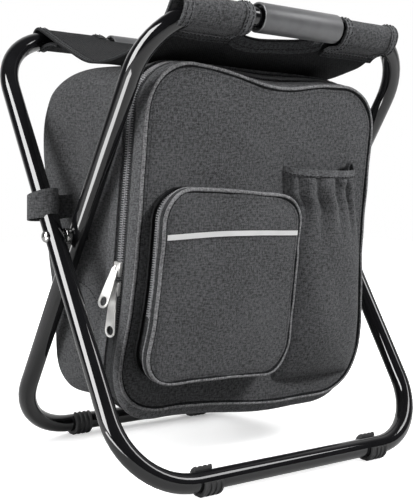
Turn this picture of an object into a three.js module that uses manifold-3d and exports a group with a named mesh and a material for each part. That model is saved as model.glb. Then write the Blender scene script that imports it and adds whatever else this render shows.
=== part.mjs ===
// A folding cooler stool: two crossed steel hoops on a pivot, a cloth sling between their top bars,
// and an insulated bag that hangs under the sling.
// Millimetres, +Z up. The bag's flap faces -Y, and the origin is on the floor under the stool's middle.
import * as THREE from "three";
import { mergeVertices } from "three/addons/utils/BufferGeometryUtils.js";
import Module from "manifold-3d";

// Fits
const CLEAR = 0.3; // between pieces that touch, or turn or slide on each other
const CUT = 20; // how far a cutting shape runs past what it cuts
const SAME_POINT = 1e-4; // corners closer than this are one corner

// Tube frame
const TUBE_D = 18;
const BEND_R = 67; // of the tube's centre line
const LEG_TO_BAG = 8; // from an inner leg to the bag's side
const LEG_GAP = 6; // between an outer leg and the inner leg beside it
const LEG_UP = 232.3; // along a leg, from the pivot to the top bar's centre
const LEG_DOWN = 245.5; // along a leg, from the pivot to the bottom bar's centre
const SPREAD_DEG = 31.83; // of each hoop from the vertical when the stool stands open
const BUTT_GAP = 0.4; // where the two ends of a hoop's tube meet, under the grip

// Pivot
const RIVET_D = 6;
const RIVET_HEAD_D = 11.5;
const RIVET_HEAD_RISE = 3.2;
const RIVET_TAIL_D = 9.8; // of the closed end, inside the inner leg
const RIVET_TAIL_RISE = 2;
const RIVET_TAIL_EDGE = 0.9;
const SPACER_D = 15;

// Feet
const FOOT_LENGTH = 30;
const FOOT_WALL = 3.2;
const FOOT_RIB_RISE = 1;
const FOOT_RIB_WIDTH = 3.4;
const FOOT_RIBS = 4;
const FOOT_FLAT = 0.5; // worn off the ribs where they meet the floor
const FOOT_GAP_DEG = 104; // of the clip's open side
const FOOT_GAP_AT_DEG = 62; // its middle, above the horizontal, on the side away from the pivot
const FOOT_TO_BEND = 2; // from a foot's end to the start of the bend

// Grips and seat
const GRIP_LENGTH = 96;
const GRIP_D = 27;
const GRIP_MOUTH_D = 22.5; // of the hollow at each end
const GRIP_MOUTH_DEPTH = 5;
const GRIP_EDGE = 1.5;
const SLEEVE_TO_GRIP = 6;
const SEAT_TO_LEG = 33; // from a sleeve's outer end to the inner hoop's leg
const CLOTH = 1.5;
const SLING_T = 2;
const SLING_SAG = 18; // of the sling's middle below its ends
const SLING_HANG_DEG = 40; // below the horizontal, where the sling meets a sleeve's lower edge
const FINGER_GAP = 15; // cut into the sling behind each grip

// Bag, in a frame that leans with its flap: y runs back from the zip, z runs up the flap from its foot
const BAG_LEAN_DEG = 6.6; // the flap's top hangs in front of its foot
const BAG_FOOT_Y = -31.4; // of the flap's foot in front of the pivot
const BAG_HALF_WIDTH = 141;
const BAG_HEIGHT = 313;
const BAG_CORNER_R = 46; // seen from the front
const BAG_BACK_R = 24; // of the upright edges of the back
const BAG_TOP_DEPTH = 150; // to the back, at the shoulder
const BAG_FOOT_DEPTH = 110; // to the back, at the bottom
const BAG_SAG = 6; // of the bottom behind the flap
const SHOULDER_RUN = 63; // of the rounded top edge of the back, along the top
const SHOULDER_DROP = 86; // and down the back
const HEEL_RUN = 34; // of the rounded bottom edge of the back
const HEEL_SHARE = 0.15; // of the back's slope that lies in that edge
const FOAM_T = 5;
const LINER_T = 1;
const FLAP_DEPTH = 24; // from the zip to the front panel's face
const PIPING = 3.6;
const PIPING_EDGE = 1;

// Zips
const ZIP_REVEAL = 9; // from the middle of the zip to the cloth's edge on each side
const ZIP_LAP = 4; // of the tape under the cloth
const TAPE_T = 1.2;
const ZIP_SLIT = 0.2; // from the middle of the zip to each row of teeth
const TEETH_WIDTH = 2.4;
const TEETH_RISE = 1.3; // above the tape
const ZIP_END = 56; // where the teeth of the flap's zip stop, above the flap's foot
const SLIDER_LENGTH = 13;
const SLIDER_WIDTH = 11;
const SLIDER_NOSE = 7.5; // its width at the narrow end
const SLIDER_PLATE = 1.6;
const SLIDER_FLANGE = 2.4;
const ARCH_LENGTH = 10.4;
const ARCH_WIDTH = 3;
const ARCH_RISE = 3.2;
const ARCH_BAR = 1.4;
const SLIDER_UPPER_Z = 124; // of the upper slider's middle, above the flap's foot
const SLIDER_STEP = 18; // between the two sliders
const PULL_LENGTH = 36;
const PULL_WIDTH = 9;
const PULL_NECK = 7;
const PULL_T = 1.6;
const PULL_WINDOW = 6.4;
const PULL_ARM = 1.2;
const PULL_HOLE_D = 3.6;
const PULL_LIFT_DEG = 19; // of the upper pull, which hangs over the lower slider

// Zip pocket on the flap
const POCKET_MARGIN = 9; // from its left side to the flap's
const POCKET_TO_BOTTLE = 4;
const POCKET_LOW = 31;
const POCKET_HEIGHT = 172.5;
const POCKET_CORNER_R = 30;
const POCKET_BASE = 6.5; // of the gusset that is sewn to the flap
const POCKET_REVEAL = 6; // from the middle of its zip to the cloth on each side
const POCKET_COVER = 7.5; // of the gusset on the cover
const STRIP_Z = 161; // of the reflective strip's middle, above the flap's foot
const STRIP_HEIGHT = 5.5;
const STRIP_T = 1;
const POCKET_SLIDER_Z = 130;

// Bottle pocket on the flap
const BOTTLE_MARGIN = 17; // from its right side to the flap's
const BOTTLE_HALF_WIDTH = 46;
const BOTTLE_BULGE = 28;
const BOTTLE_LOW = 20;
const BOTTLE_TOP_LEFT = 228;
const BOTTLE_TOP_RIGHT = 212;
const BOTTLE_TOE = 46; // height of the rounded bottom of its front
const ELASTIC_HEIGHT = 11;

// Leg straps, level with the floor
const STRAP_HEIGHT = 22;
const STRAP_T = 2;
const STRAP_LOOSE = 5; // beyond the outer leg
const STRAP_SLACK = 0.5; // before and behind the outer leg
const STRAP_TO_LEG = 2.9; // from its front to the inner leg
const STRAP_FLAT = 3; // of each end of the loop, on each side of its middle

// Shoulder straps, in a frame whose z runs up the bag's back
const PAD_X = 58; // of each strap's middle from the bag's middle
const PAD_WIDTH = 48;
const PAD_T = 9;
const PAD_TOP = 184;
const PAD_LOW = 66;
const PAD_BOW = 30; // of the curve's control point off the back
const PAD_END_OFF = 7; // of the lower end off the back
const WEB_WIDTH = 25;
const WEB_T = 1.8;
const WEB_SEWN = 18; // length of the webbing that is sewn down
const BUCKLE_HEIGHT = 16;
const BUCKLE_FRAME = 4;
const BUCKLE_R = 2.5;

// Facets
const TUBE_SIDES = 16;
const BEND_STEPS = 8;
const ROUND_SIDES = 20;
const FOOT_STEPS = 10;
const ARC_STEPS = 2; // twice this many flats on each rounded corner
const CURVE_STEPS = 5;
const SLING_STEPS = 12;

// Sizes that follow
const TUBE_R = TUBE_D / 2;
const BORE_R = TUBE_R + CLEAR; // of what goes round a tube
const INNER_HALF_WIDTH = BAG_HALF_WIDTH + LEG_TO_BAG + TUBE_R; // to the centre line of its legs
const OUTER_HALF_WIDTH = INNER_HALF_WIDTH + TUBE_D + LEG_GAP;
const SEAT_HALF_WIDTH = INNER_HALF_WIDTH - SEAT_TO_LEG;
const SPREAD = THREE.MathUtils.degToRad(SPREAD_DEG);
const LEAN = THREE.MathUtils.degToRad(BAG_LEAN_DEG);
const FOOT_R = BORE_R + FOOT_WALL;
const FOOT_STAND = FOOT_R + FOOT_RIB_RISE - FOOT_FLAT; // of a bottom bar's centre above the floor
const PIVOT_Z = FOOT_STAND + LEG_DOWN * Math.cos(SPREAD);
const BOTTLE_X = BAG_HALF_WIDTH - BOTTLE_MARGIN - BOTTLE_HALF_WIDTH;
const POCKET_LEFT = POCKET_MARGIN - BAG_HALF_WIDTH;
const POCKET_RIGHT = BOTTLE_X - BOTTLE_HALF_WIDTH - POCKET_TO_BOTTLE;

const wasm = await Module();
wasm.setup();

// Solids

// A closed geometry as a solid that can be joined and cut.
function solid(geometry) {
  const source = geometry.index ? geometry.toNonIndexed() : geometry;
  const bare = new THREE.BufferGeometry();
  bare.setAttribute("position", source.getAttribute("position"));
  const merged = mergeVertices(bare, SAME_POINT);
  const vertProperties = merged.getAttribute("position").array;
  const triVerts = new Uint32Array(merged.index.array);
  return new wasm.Manifold(new wasm.Mesh({ numProp: 3, vertProperties, triVerts }));
}

function geometryOf(body) {
  const { vertProperties, triVerts } = body.getMesh();
  const geometry = new THREE.BufferGeometry();
  geometry.setAttribute("position", new THREE.BufferAttribute(new Float32Array(vertProperties), 3));
  geometry.setIndex(new THREE.BufferAttribute(new Uint32Array(triVerts), 1));
  geometry.computeVertexNormals();
  return geometry;
}

function extrude(shape, depth) {
  return new THREE.ExtrudeGeometry(shape, { depth, bevelEnabled: false, curveSegments: ARC_STEPS });
}

// A shape drawn in x and z, from one y to another.
function prismY(shape, from, to) {
  return solid(extrude(shape, to - from).rotateX(Math.PI / 2).translate(0, to, 0));
}

// A shape drawn in y and z, from one x to another.
function prismX(shape, from, to) {
  const along = new THREE.Matrix4().makeBasis(
    new THREE.Vector3(0, 1, 0),
    new THREE.Vector3(0, 0, 1),
    new THREE.Vector3(1, 0, 0),
  );
  return solid(extrude(shape, to - from).applyMatrix4(along).translate(from, 0, 0));
}

// A shape drawn in x and y, from one z to another.
function prismZ(shape, from, to) {
  return solid(extrude(shape, to - from).translate(0, 0, from));
}

function box(left, right, front, back, low, high) {
  const geometry = new THREE.BoxGeometry(right - left, back - front, high - low);
  return solid(geometry.translate((left + right) / 2, (front + back) / 2, (low + high) / 2));
}

// A profile of radius and x, turned about the x axis.
function turned(profile, sides) {
  const points = profile.map(([radius, x]) => new THREE.Vector2(radius, x));
  return new THREE.LatheGeometry(points, sides).rotateZ(-Math.PI / 2);
}

// Outlines

function polygon(points) {
  return new THREE.Shape(points.map(([u, v]) => new THREE.Vector2(u, v)));
}

// Points on an arc of an ellipse, from one angle to another.
function arcPoints(u, v, ru, rv, from, to, steps) {
  const at = (i) => from + ((to - from) * i) / steps;
  return Array.from({ length: steps + 1 }, (_, i) => [
    u + ru * Math.cos(at(i)),
    v + rv * Math.sin(at(i)),
  ]);
}

function rounded(left, right, low, high, radius) {
  const shape = new THREE.Shape();
  shape.absarc(right - radius, low + radius, radius, -Math.PI / 2, 0);
  shape.absarc(right - radius, high - radius, radius, 0, Math.PI / 2);
  shape.absarc(left + radius, high - radius, radius, Math.PI / 2, Math.PI);
  shape.absarc(left + radius, low + radius, radius, Math.PI, 1.5 * Math.PI);
  shape.closePath();
  return shape;
}

function ringOf(outer, inner) {
  outer.holes.push(inner);
  return outer;
}

// A band of even thickness that follows a list of points; side is +1 for the left of its run.
function bandAlong(points, thickness, side) {
  const run = points.map(([u, v]) => new THREE.Vector2(u, v));
  const offset = run.map((point, i) => {
    const before = run[Math.max(i - 1, 0)];
    const after = run[Math.min(i + 1, run.length - 1)];
    const along = after.clone().sub(before).normalize();
    return new THREE.Vector2(-along.y, along.x).multiplyScalar(side * thickness).add(point);
  });
  return new THREE.Shape([...run, ...offset.reverse()]);
}

// Materials

function finish(color, roughness, metalness) {
  return new THREE.MeshStandardMaterial({ color, roughness, metalness });
}

const glossBlack = finish(0x0d0d0e, 0.18, 0.6);
const steel = finish(0xb8b9bb, 0.25, 1);
const rubber = finish(0x161617, 0.75, 0);
const satinPlastic = finish(0x4a4b4d, 0.38, 0);
const canvas = finish(0x3a3b3d, 0.9, 0);
const darkCanvas = finish(0x2c2d2f, 0.92, 0);
const trim = finish(0x6b6c6e, 0.8, 0);
const tape = finish(0x202123, 0.85, 0);
const reflective = finish(0xc9cacb, 0.45, 0);
const foam = finish(0xe4e3dc, 0.95, 0);
const liner = finish(0xb9bcbf, 0.35, 0.3);
const nickel = finish(0xd6d6d4, 0.2, 1);

// Scene graph

const stool = new THREE.Group();
stool.name = "folding_cooler_stool";

function put(parent, name, shape, material) {
  const mesh = new THREE.Mesh(shape.isBufferGeometry ? shape : geometryOf(shape), material);
  mesh.name = name;
  parent.add(mesh);
  return mesh;
}

function frameAt(parent, x, y, z) {
  const group = new THREE.Group();
  group.position.set(x, y, z);
  parent.add(group);
  return group;
}

// A named group that turns about a point of its parent; what it returns is drawn in the parent's frame.
function turning(parent, name, x, y, z) {
  const pivot = frameAt(parent, x, y, z);
  pivot.name = name;
  return frameAt(pivot, -x, -y, -z);
}

// Hoops, each drawn with upright legs in a frame at the pivot

// A rectangle with round corners that starts and ends in the middle of the top bar.
class HoopPath extends THREE.Curve {
  constructor(halfWidth) {
    super();
    this.stops = [{ point: new THREE.Vector3(BUTT_GAP / 2, 0, LEG_UP), along: 0 }];
    const corners = [
      [1, LEG_UP - BEND_R],
      [1, BEND_R - LEG_DOWN],
      [-1, BEND_R - LEG_DOWN],
      [-1, LEG_UP - BEND_R],
    ];
    corners.forEach(([side, z], corner) => {
      for (let i = 0; i <= BEND_STEPS; i++) {
        const along = ((corner + i / BEND_STEPS) * Math.PI) / 2;
        const x = side * (halfWidth - BEND_R) + BEND_R * Math.sin(along);
        const point = new THREE.Vector3(x, 0, z + BEND_R * Math.cos(along));
        this.stops.push({ point, along });
      }
    });
    this.stops.push({ point: new THREE.Vector3(-BUTT_GAP / 2, 0, LEG_UP), along: 2 * Math.PI });
    this.steps = this.stops.length - 1;
  }

  // Steps are counted along the stops, so that a straight stretch is one step long.
  getPointAt(u) {
    return this.stops[Math.round(u * this.steps)].point.clone();
  }

  getTangentAt(u) {
    const { along } = this.stops[Math.round(u * this.steps)];
    return new THREE.Vector3(Math.cos(along), 0, -Math.sin(along));
  }
}

function hoop(halfWidth) {
  const path = new HoopPath(halfWidth);
  const section = polygon(arcPoints(0, 0, TUBE_R, TUBE_R, 0, 2 * Math.PI, TUBE_SIDES).slice(1));
  const tube = new THREE.ExtrudeGeometry(section, { steps: path.steps, extrudePath: path });
  const drill = new THREE.CylinderGeometry(
    RIVET_D / 2 + CLEAR,
    RIVET_D / 2 + CLEAR,
    2 * (halfWidth + TUBE_D),
    TUBE_SIDES,
  );
  return solid(tube).subtract(solid(drill.rotateZ(Math.PI / 2)));
}

// A ribbed clip round a bottom bar, in a level frame at the bar's centre; away is the side it opens to.
function foot(away) {
  const middle = THREE.MathUtils.degToRad(FOOT_GAP_AT_DEG);
  const half = THREE.MathUtils.degToRad(FOOT_GAP_DEG) / 2;
  const gap = away > 0 ? middle : Math.PI - middle;
  const from = gap + half;
  const to = gap - half + 2 * Math.PI;
  const clip = (radius) =>
    polygon([
      ...arcPoints(0, 0, radius, radius, from, to, FOOT_STEPS),
      ...arcPoints(0, 0, BORE_R, BORE_R, to, from, FOOT_STEPS),
    ]);
  let body = prismX(clip(FOOT_R), -FOOT_LENGTH / 2, FOOT_LENGTH / 2);
  const pitch = (FOOT_LENGTH - FOOT_RIB_WIDTH) / (FOOT_RIBS - 1);
  for (let i = 0; i < FOOT_RIBS; i++) {
    const start = -FOOT_LENGTH / 2 + i * pitch;
    body = body.add(prismX(clip(FOOT_R + FOOT_RIB_RISE), start, start + FOOT_RIB_WIDTH));
  }
  const floor = box(-FOOT_LENGTH, FOOT_LENGTH, -FOOT_R - CUT, FOOT_R + CUT, -FOOT_R - CUT, -FOOT_STAND);
  return body.subtract(floor);
}

// A loose tube round the middle of a top bar, hollowed at both ends.
function grip() {
  const end = GRIP_LENGTH / 2;
  const radius = GRIP_D / 2;
  const mouth = GRIP_MOUTH_D / 2;
  const profile = [
    [BORE_R, -end + GRIP_MOUTH_DEPTH],
    [mouth, -end + GRIP_MOUTH_DEPTH],
    [mouth, -end],
    [radius - GRIP_EDGE, -end],
    [radius, -end + GRIP_EDGE],
    [radius, end - GRIP_EDGE],
    [radius - GRIP_EDGE, end],
    [mouth, end],
    [mouth, end - GRIP_MOUTH_DEPTH],
    [BORE_R, end - GRIP_MOUTH_DEPTH],
    [BORE_R, -end + GRIP_MOUTH_DEPTH],
  ];
  return turned(profile, ROUND_SIDES);
}

// How far the inside of the tube's bend lies below the bar's centre where the seat ends.
const BEND_RUN = Math.max(SEAT_HALF_WIDTH - (INNER_HALF_WIDTH - BEND_R), 0);
const BEND_LOW = BEND_R - Math.sqrt((BEND_R - TUBE_R) ** 2 - BEND_RUN ** 2);
const SLEEVE_DROP = Math.max(BEND_LOW - TUBE_R, 0);
const SLEEVE_R = BORE_R + CLOTH;
const SLEEVE_START = GRIP_LENGTH / 2 + SLEEVE_TO_GRIP;

// A loop of cloth over a top bar, tall enough for the bend that runs out of its end.
function sleeve(side) {
  const loop = (radius) =>
    polygon([
      ...arcPoints(0, 0, radius, radius, 0, Math.PI, ROUND_SIDES / 2),
      ...arcPoints(0, -SLEEVE_DROP, radius, radius, Math.PI, 2 * Math.PI, ROUND_SIDES / 2),
    ]);
  const ends = [side * SLEEVE_START, side * SEAT_HALF_WIDTH].sort((a, b) => a - b);
  return prismX(ringOf(loop(SLEEVE_R), loop(BORE_R)), ...ends);
}

// A rivet through both legs, drawn along +x from the pivot's middle plane.
function rivet() {
  const shank = RIVET_D / 2;
  const head = RIVET_HEAD_D / 2;
  const outside = OUTER_HALF_WIDTH + TUBE_R + CLEAR;
  const inside = INNER_HALF_WIDTH - TUBE_R - CLEAR;
  const profile = [
    [0, inside - RIVET_TAIL_RISE],
    [RIVET_TAIL_D / 2 - RIVET_TAIL_EDGE, inside - RIVET_TAIL_RISE],
    [RIVET_TAIL_D / 2, inside],
    [shank, inside],
    [shank, outside],
    ...arcPoints(0, outside, head, RIVET_HEAD_RISE, 0, Math.PI / 2, CURVE_STEPS),
  ];
  profile[profile.length - 1][0] = 0;
  return turned(profile, TUBE_SIDES);
}

function spacer() {
  const low = INNER_HALF_WIDTH + TUBE_R + CLEAR;
  const high = OUTER_HALF_WIDTH - TUBE_R - CLEAR;
  const hole = RIVET_D / 2 + CLEAR;
  const profile = [
    [hole, low],
    [SPACER_D / 2, low],
    [SPACER_D / 2, high],
    [hole, high],
    [hole, low],
  ];
  return turned(profile, TUBE_SIDES);
}

const sides = { left: -1, right: 1 };

// One hoop with its feet, sleeves and grip; back is +1 where its top bar is the rear one.
function addFrame(name, halfWidth, back, top) {
  const frame = frameAt(stool, 0, 0, PIVOT_Z);
  frame.name = name + "_frame";
  frame.rotation.x = -back * SPREAD;
  put(frame, name + "_hoop", hoop(halfWidth), glossBlack);
  for (const [hand, side] of Object.entries(sides)) {
    const x = side * (halfWidth - BEND_R - FOOT_TO_BEND - FOOT_LENGTH / 2);
    const level = frameAt(frame, x, 0, -LEG_DOWN);
    level.rotation.x = back * SPREAD;
    put(level, name + "_foot_" + hand, foot(-back), rubber);
    const bar = frameAt(frame, 0, 0, LEG_UP);
    put(bar, top + "_sleeve_" + hand, sleeve(side), canvas);
  }
  const axle = frameAt(frame, 0, 0, LEG_UP);
  axle.name = top + "_grip_turn";
  put(axle, top + "_grip", grip(), satinPlastic);
  return frame;
}

const outerFrame = addFrame("outer", OUTER_HALF_WIDTH, 1, "rear");
addFrame("inner", INNER_HALF_WIDTH, -1, "front");
for (const [hand, side] of Object.entries(sides)) {
  const turnedRound = frameAt(outerFrame, 0, 0, 0);
  turnedRound.rotation.z = side < 0 ? Math.PI : 0;
  put(turnedRound, "pivot_rivet_" + hand, rivet(), steel);
  put(turnedRound, "pivot_spacer_" + hand, spacer(), steel);
}

// Sling, level with the floor, between the lower edges of the front and rear sleeves

const SLEEVE_ARM = LEG_UP - SLEEVE_DROP;
const HANG = THREE.MathUtils.degToRad(SLING_HANG_DEG);
const SLING_REACH = SLEEVE_R + CLEAR + SLING_T / 2;
const SLING_END_Y = SLEEVE_ARM * Math.sin(SPREAD) - SLING_REACH * Math.cos(HANG);
const SLING_END_Z = PIVOT_Z + SLEEVE_ARM * Math.cos(SPREAD) - SLING_REACH * Math.sin(HANG);
const SLING_UNDER_Z = SLING_END_Z - SLING_SAG - SLING_T / 2;

function sling() {
  const under = Array.from({ length: SLING_STEPS + 1 }, (_, i) => {
    const share = (2 * i) / SLING_STEPS - 1;
    return [share * SLING_END_Y, SLING_UNDER_Z + SLING_SAG * share ** 2];
  });
  const over = under.map(([y, z]) => [y, z + SLING_T]).reverse();
  let cloth = prismX(polygon([...under, ...over]), -SEAT_HALF_WIDTH, SEAT_HALF_WIDTH);
  for (const end of [-SLING_END_Y, SLING_END_Y]) {
    const gap = arcPoints(0, end, SLEEVE_START, FINGER_GAP, 0, 2 * Math.PI, ROUND_SIDES).slice(1);
    cloth = cloth.subtract(prismZ(polygon(gap), SLING_UNDER_Z - CUT, SLING_END_Z + CUT));
  }
  return cloth;
}

const bagTurn = frameAt(stool, 0, 0, PIVOT_Z);
bagTurn.name = "bag_turn";
const level = frameAt(bagTurn, 0, 0, -PIVOT_Z);
put(level, "seat_sling", sling(), canvas);

// Bag, in its leaning frame

const TAPE_HALF = ZIP_REVEAL + ZIP_LAP; // of one half of the zip, from its middle
const RIM_Y = TAPE_HALF + CLEAR; // where the foam and the liner start
const BAG_TOP_Z = SLING_UNDER_Z - CLEAR;
const BAG_FOOT_Z = BAG_TOP_Z - BAG_HEIGHT * Math.cos(LEAN) - RIM_Y * Math.sin(LEAN);
const bag = frameAt(level, 0, BAG_FOOT_Y, BAG_FOOT_Z);
bag.rotation.x = LEAN;

function flapOutline(inset) {
  const half = BAG_HALF_WIDTH - inset;
  return rounded(-half, half, inset, BAG_HEIGHT - inset, BAG_CORNER_R - inset);
}

// The bag's full form, drawn in by an inset and open in front of a rim: three outlines that meet.
function bagForm(inset, rim) {
  const half = BAG_HALF_WIDTH - inset;
  const low = inset - BAG_SAG;
  const front = rounded(-half, half, low, BAG_HEIGHT - inset, BAG_CORNER_R - inset);
  const shoulder = BAG_TOP_DEPTH - inset;
  const heel = BAG_FOOT_DEPTH - inset;
  const top = (y) => BAG_HEIGHT - inset - Math.max(y - RIM_Y, 0) * Math.tan(LEAN);
  const profile = new THREE.Shape();
  profile.moveTo(-CUT, inset);
  profile.lineTo(RIM_Y, inset);
  profile.lineTo(heel - HEEL_RUN, low);
  profile.quadraticCurveTo(heel, low, heel + (shoulder - heel) * HEEL_SHARE, low + HEEL_RUN);
  profile.lineTo(shoulder, top(shoulder) - SHOULDER_DROP);
  profile.quadraticCurveTo(shoulder, top(shoulder), shoulder - SHOULDER_RUN, top(shoulder - SHOULDER_RUN));
  profile.lineTo(RIM_Y, top(RIM_Y));
  profile.lineTo(-CUT, top(RIM_Y));
  const edge = BAG_BACK_R - inset;
  const plan = new THREE.Shape();
  plan.moveTo(-half, -CUT);
  plan.lineTo(half, -CUT);
  plan.absarc(half - edge, shoulder - edge, edge, 0, Math.PI / 2);
  plan.absarc(edge - half, shoulder - edge, edge, Math.PI / 2, Math.PI);
  return prismY(front, rim, BAG_TOP_DEPTH + CUT)
    .intersect(prismX(profile, -BAG_HALF_WIDTH - CUT, BAG_HALF_WIDTH + CUT))
    .intersect(prismZ(plan, -BAG_SAG - CUT, BAG_HEIGHT + CUT));
}

// One layer of the bag, from one inset to another, open at its rim.
function bagLayer(outer, thickness, rim) {
  return bagForm(outer, rim).subtract(bagForm(outer + thickness, -CUT));
}

const FOAM_INSET = CLOTH + CLEAR;
const LINER_INSET = FOAM_INSET + FOAM_T + CLEAR;
put(bag, "bag_shell", bagLayer(0, CLOTH, ZIP_REVEAL), canvas);
put(bag, "bag_insulation", bagLayer(FOAM_INSET, FOAM_T, RIM_Y), foam);
put(bag, "bag_liner", bagLayer(LINER_INSET, LINER_T, RIM_Y), liner);

// Zips

const TEETH_INSET = CLOTH + CLEAR - TEETH_RISE; // of the teeth's top below the cloth's face

// Half of a zip: a ring of tape just inside the cloth, with teeth along its free edge above an end.
function zipHalf(outline, middle, side, halfWidth, end) {
  const inside = CLOTH + CLEAR + TAPE_T;
  const band = (inset, width) => {
    const ends = [middle + side * ZIP_SLIT, middle + side * width].sort((a, b) => a - b);
    return prismY(ringOf(outline(inset), outline(inside)), ...ends);
  };
  const wide = BAG_HALF_WIDTH + CUT;
  const below = box(-wide, wide, middle - CUT, middle + CUT, -CUT, end);
  const teeth = band(TEETH_INSET, ZIP_SLIT + TEETH_WIDTH).subtract(below);
  return band(CLOTH + CLEAR, halfWidth).add(teeth);
}

put(bag, "zip_tape_body", zipHalf(flapOutline, 0, 1, TAPE_HALF, ZIP_END), tape);

// A slider over a zip, drawn with +x off the cloth and +z up; its flange is on the side of the fixed tape.
function slider(flangeSide) {
  const half = SLIDER_WIDTH / 2;
  const end = SLIDER_LENGTH / 2;
  const outline = polygon([
    [-SLIDER_NOSE / 2, -end],
    [SLIDER_NOSE / 2, -end],
    [half, end / 2],
    [half, end],
    [-half, end],
    [-half, end / 2],
  ]);
  const flangeEnds = [flangeSide * (half - SLIDER_FLANGE), flangeSide * half].sort((a, b) => a - b);
  const flange = box(-TEETH_RISE, SLIDER_PLATE / 2, ...flangeEnds, end / 2, end);
  const arch = (length, foot, rise) =>
    polygon([
      [foot, -length / 2],
      [SLIDER_PLATE + rise - ARCH_BAR, -length / 2],
      [SLIDER_PLATE + rise, -length / 2 + ARCH_BAR],
      [SLIDER_PLATE + rise, length / 2 - ARCH_BAR],
      [SLIDER_PLATE + rise - ARCH_BAR, length / 2],
      [foot, length / 2],
    ]);
  const outside = arch(ARCH_LENGTH, SLIDER_PLATE / 2, ARCH_RISE + ARCH_BAR);
  const hollow = arch(ARCH_LENGTH - 2 * ARCH_BAR, SLIDER_PLATE, ARCH_RISE);
  const loop = prismY(outside, -ARCH_WIDTH / 2, ARCH_WIDTH / 2)
    .subtract(prismY(hollow, -ARCH_WIDTH, ARCH_WIDTH));
  return prismX(outline, 0, SLIDER_PLATE).add(flange).add(loop);
}

// A pull tab that hangs from a pin, with a window for the slider's arch; off is the pin's x.
function pull(windowed, off) {
  const round = PULL_WIDTH / 2;
  const low = round - PULL_LENGTH;
  const pin = PULL_T / 2;
  const outline = polygon([
    [PULL_NECK / 2, pin],
    [-PULL_NECK / 2, pin],
    [-PULL_NECK / 2, -PULL_WINDOW],
    ...arcPoints(0, low, round, round, Math.PI, 2 * Math.PI, CURVE_STEPS),
    [PULL_NECK / 2, -PULL_WINDOW],
  ]);
  const hole = PULL_HOLE_D / 2;
  outline.holes.push(polygon(arcPoints(0, low, hole, hole, 0, 2 * Math.PI, 2 * CURVE_STEPS).slice(1)));
  if (windowed) {
    const half = PULL_NECK / 2 - PULL_ARM;
    outline.holes.push(
      polygon([
        [-half, -PULL_WINDOW - pin],
        [half, -PULL_WINDOW - pin],
        [half, -pin],
        [-half, -pin],
      ]),
    );
  }
  return prismX(outline, off - PULL_T / 2, off + PULL_T / 2);
}

const SLIDER_OFF = CLEAR - TEETH_INSET; // of a slider's plate from the cloth's face
const PIN_OFF = SLIDER_PLATE + ARCH_RISE / 2;
const sliders = { upper: SLIDER_UPPER_Z, lower: SLIDER_UPPER_Z - SLIDER_STEP };
for (const [name, z] of Object.entries(sliders)) {
  const seat = frameAt(bag, -BAG_HALF_WIDTH - SLIDER_OFF, 0, z);
  seat.name = "slider_" + name;
  seat.rotation.z = Math.PI;
  put(seat, "zip_slider_" + name, slider(-1), nickel);
  const pin = frameAt(seat, PIN_OFF, 0, 0);
  pin.name = "pull_pin_" + name;
  pin.rotation.y = name === "upper" ? -THREE.MathUtils.degToRad(PULL_LIFT_DEG) : 0;
  put(pin, "zip_pull_" + name, pull(true, 0), nickel);
}

// Flap, which turns down about the fold in the zip tape at its foot

const FLAP_FOLD_Z = CLOTH;
const flap = turning(bag, "flap_fold", 0, 0, FLAP_FOLD_Z);

// A tray of cloth: a face with a gusset behind it.
function tray(outline, face, rim) {
  return prismY(outline(0), face, rim).subtract(prismY(outline(CLOTH), face + CLOTH, rim + CUT));
}

// A ring of piping in front of a face.
function piping(outline, face) {
  const bevel = { bevelSize: PIPING_EDGE, bevelOffset: -PIPING_EDGE, bevelThickness: PIPING_EDGE };
  const ring = new THREE.ExtrudeGeometry(ringOf(outline(0), outline(PIPING)), {
    ...bevel,
    depth: PIPING - 2 * PIPING_EDGE,
    bevelSegments: 1,
    curveSegments: ARC_STEPS,
  });
  return ring.rotateX(Math.PI / 2).translate(0, face - CLEAR - PIPING_EDGE, 0);
}

const FLAP_FACE = -FLAP_DEPTH;
const FLAP_FOAM_Y = FLAP_FACE + CLOTH + CLEAR;
const FLAP_LINER_Y = FLAP_FOAM_Y + FOAM_T + CLEAR;
put(flap, "flap_panel", tray(flapOutline, FLAP_FACE, -ZIP_REVEAL), canvas);
put(flap, "flap_insulation", prismY(flapOutline(FOAM_INSET), FLAP_FOAM_Y, FLAP_FOAM_Y + FOAM_T), foam);
put(flap, "flap_liner", prismY(flapOutline(FOAM_INSET), FLAP_LINER_Y, FLAP_LINER_Y + LINER_T), liner);
put(flap, "flap_piping", piping(flapOutline, FLAP_FACE), trim);
put(flap, "zip_tape_flap", zipHalf(flapOutline, 0, -1, TAPE_HALF, ZIP_END), tape);

// Zip pocket: a gusset sewn on the flap, and a cover that turns down about its foot

const POCKET_BACK = FLAP_FACE - CLEAR;
const POCKET_ZIP_Y = POCKET_BACK - POCKET_BASE - POCKET_REVEAL;
const COVER_RIM = POCKET_ZIP_Y - POCKET_REVEAL;
const COVER_FACE = COVER_RIM - POCKET_COVER;
const POCKET_TAPE_HALF = POCKET_REVEAL + ZIP_LAP / 2;

function pocketOutline(inset) {
  return rounded(
    POCKET_LEFT + inset,
    POCKET_RIGHT - inset,
    POCKET_LOW + inset,
    POCKET_LOW + POCKET_HEIGHT - inset,
    POCKET_CORNER_R - inset,
  );
}

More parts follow.
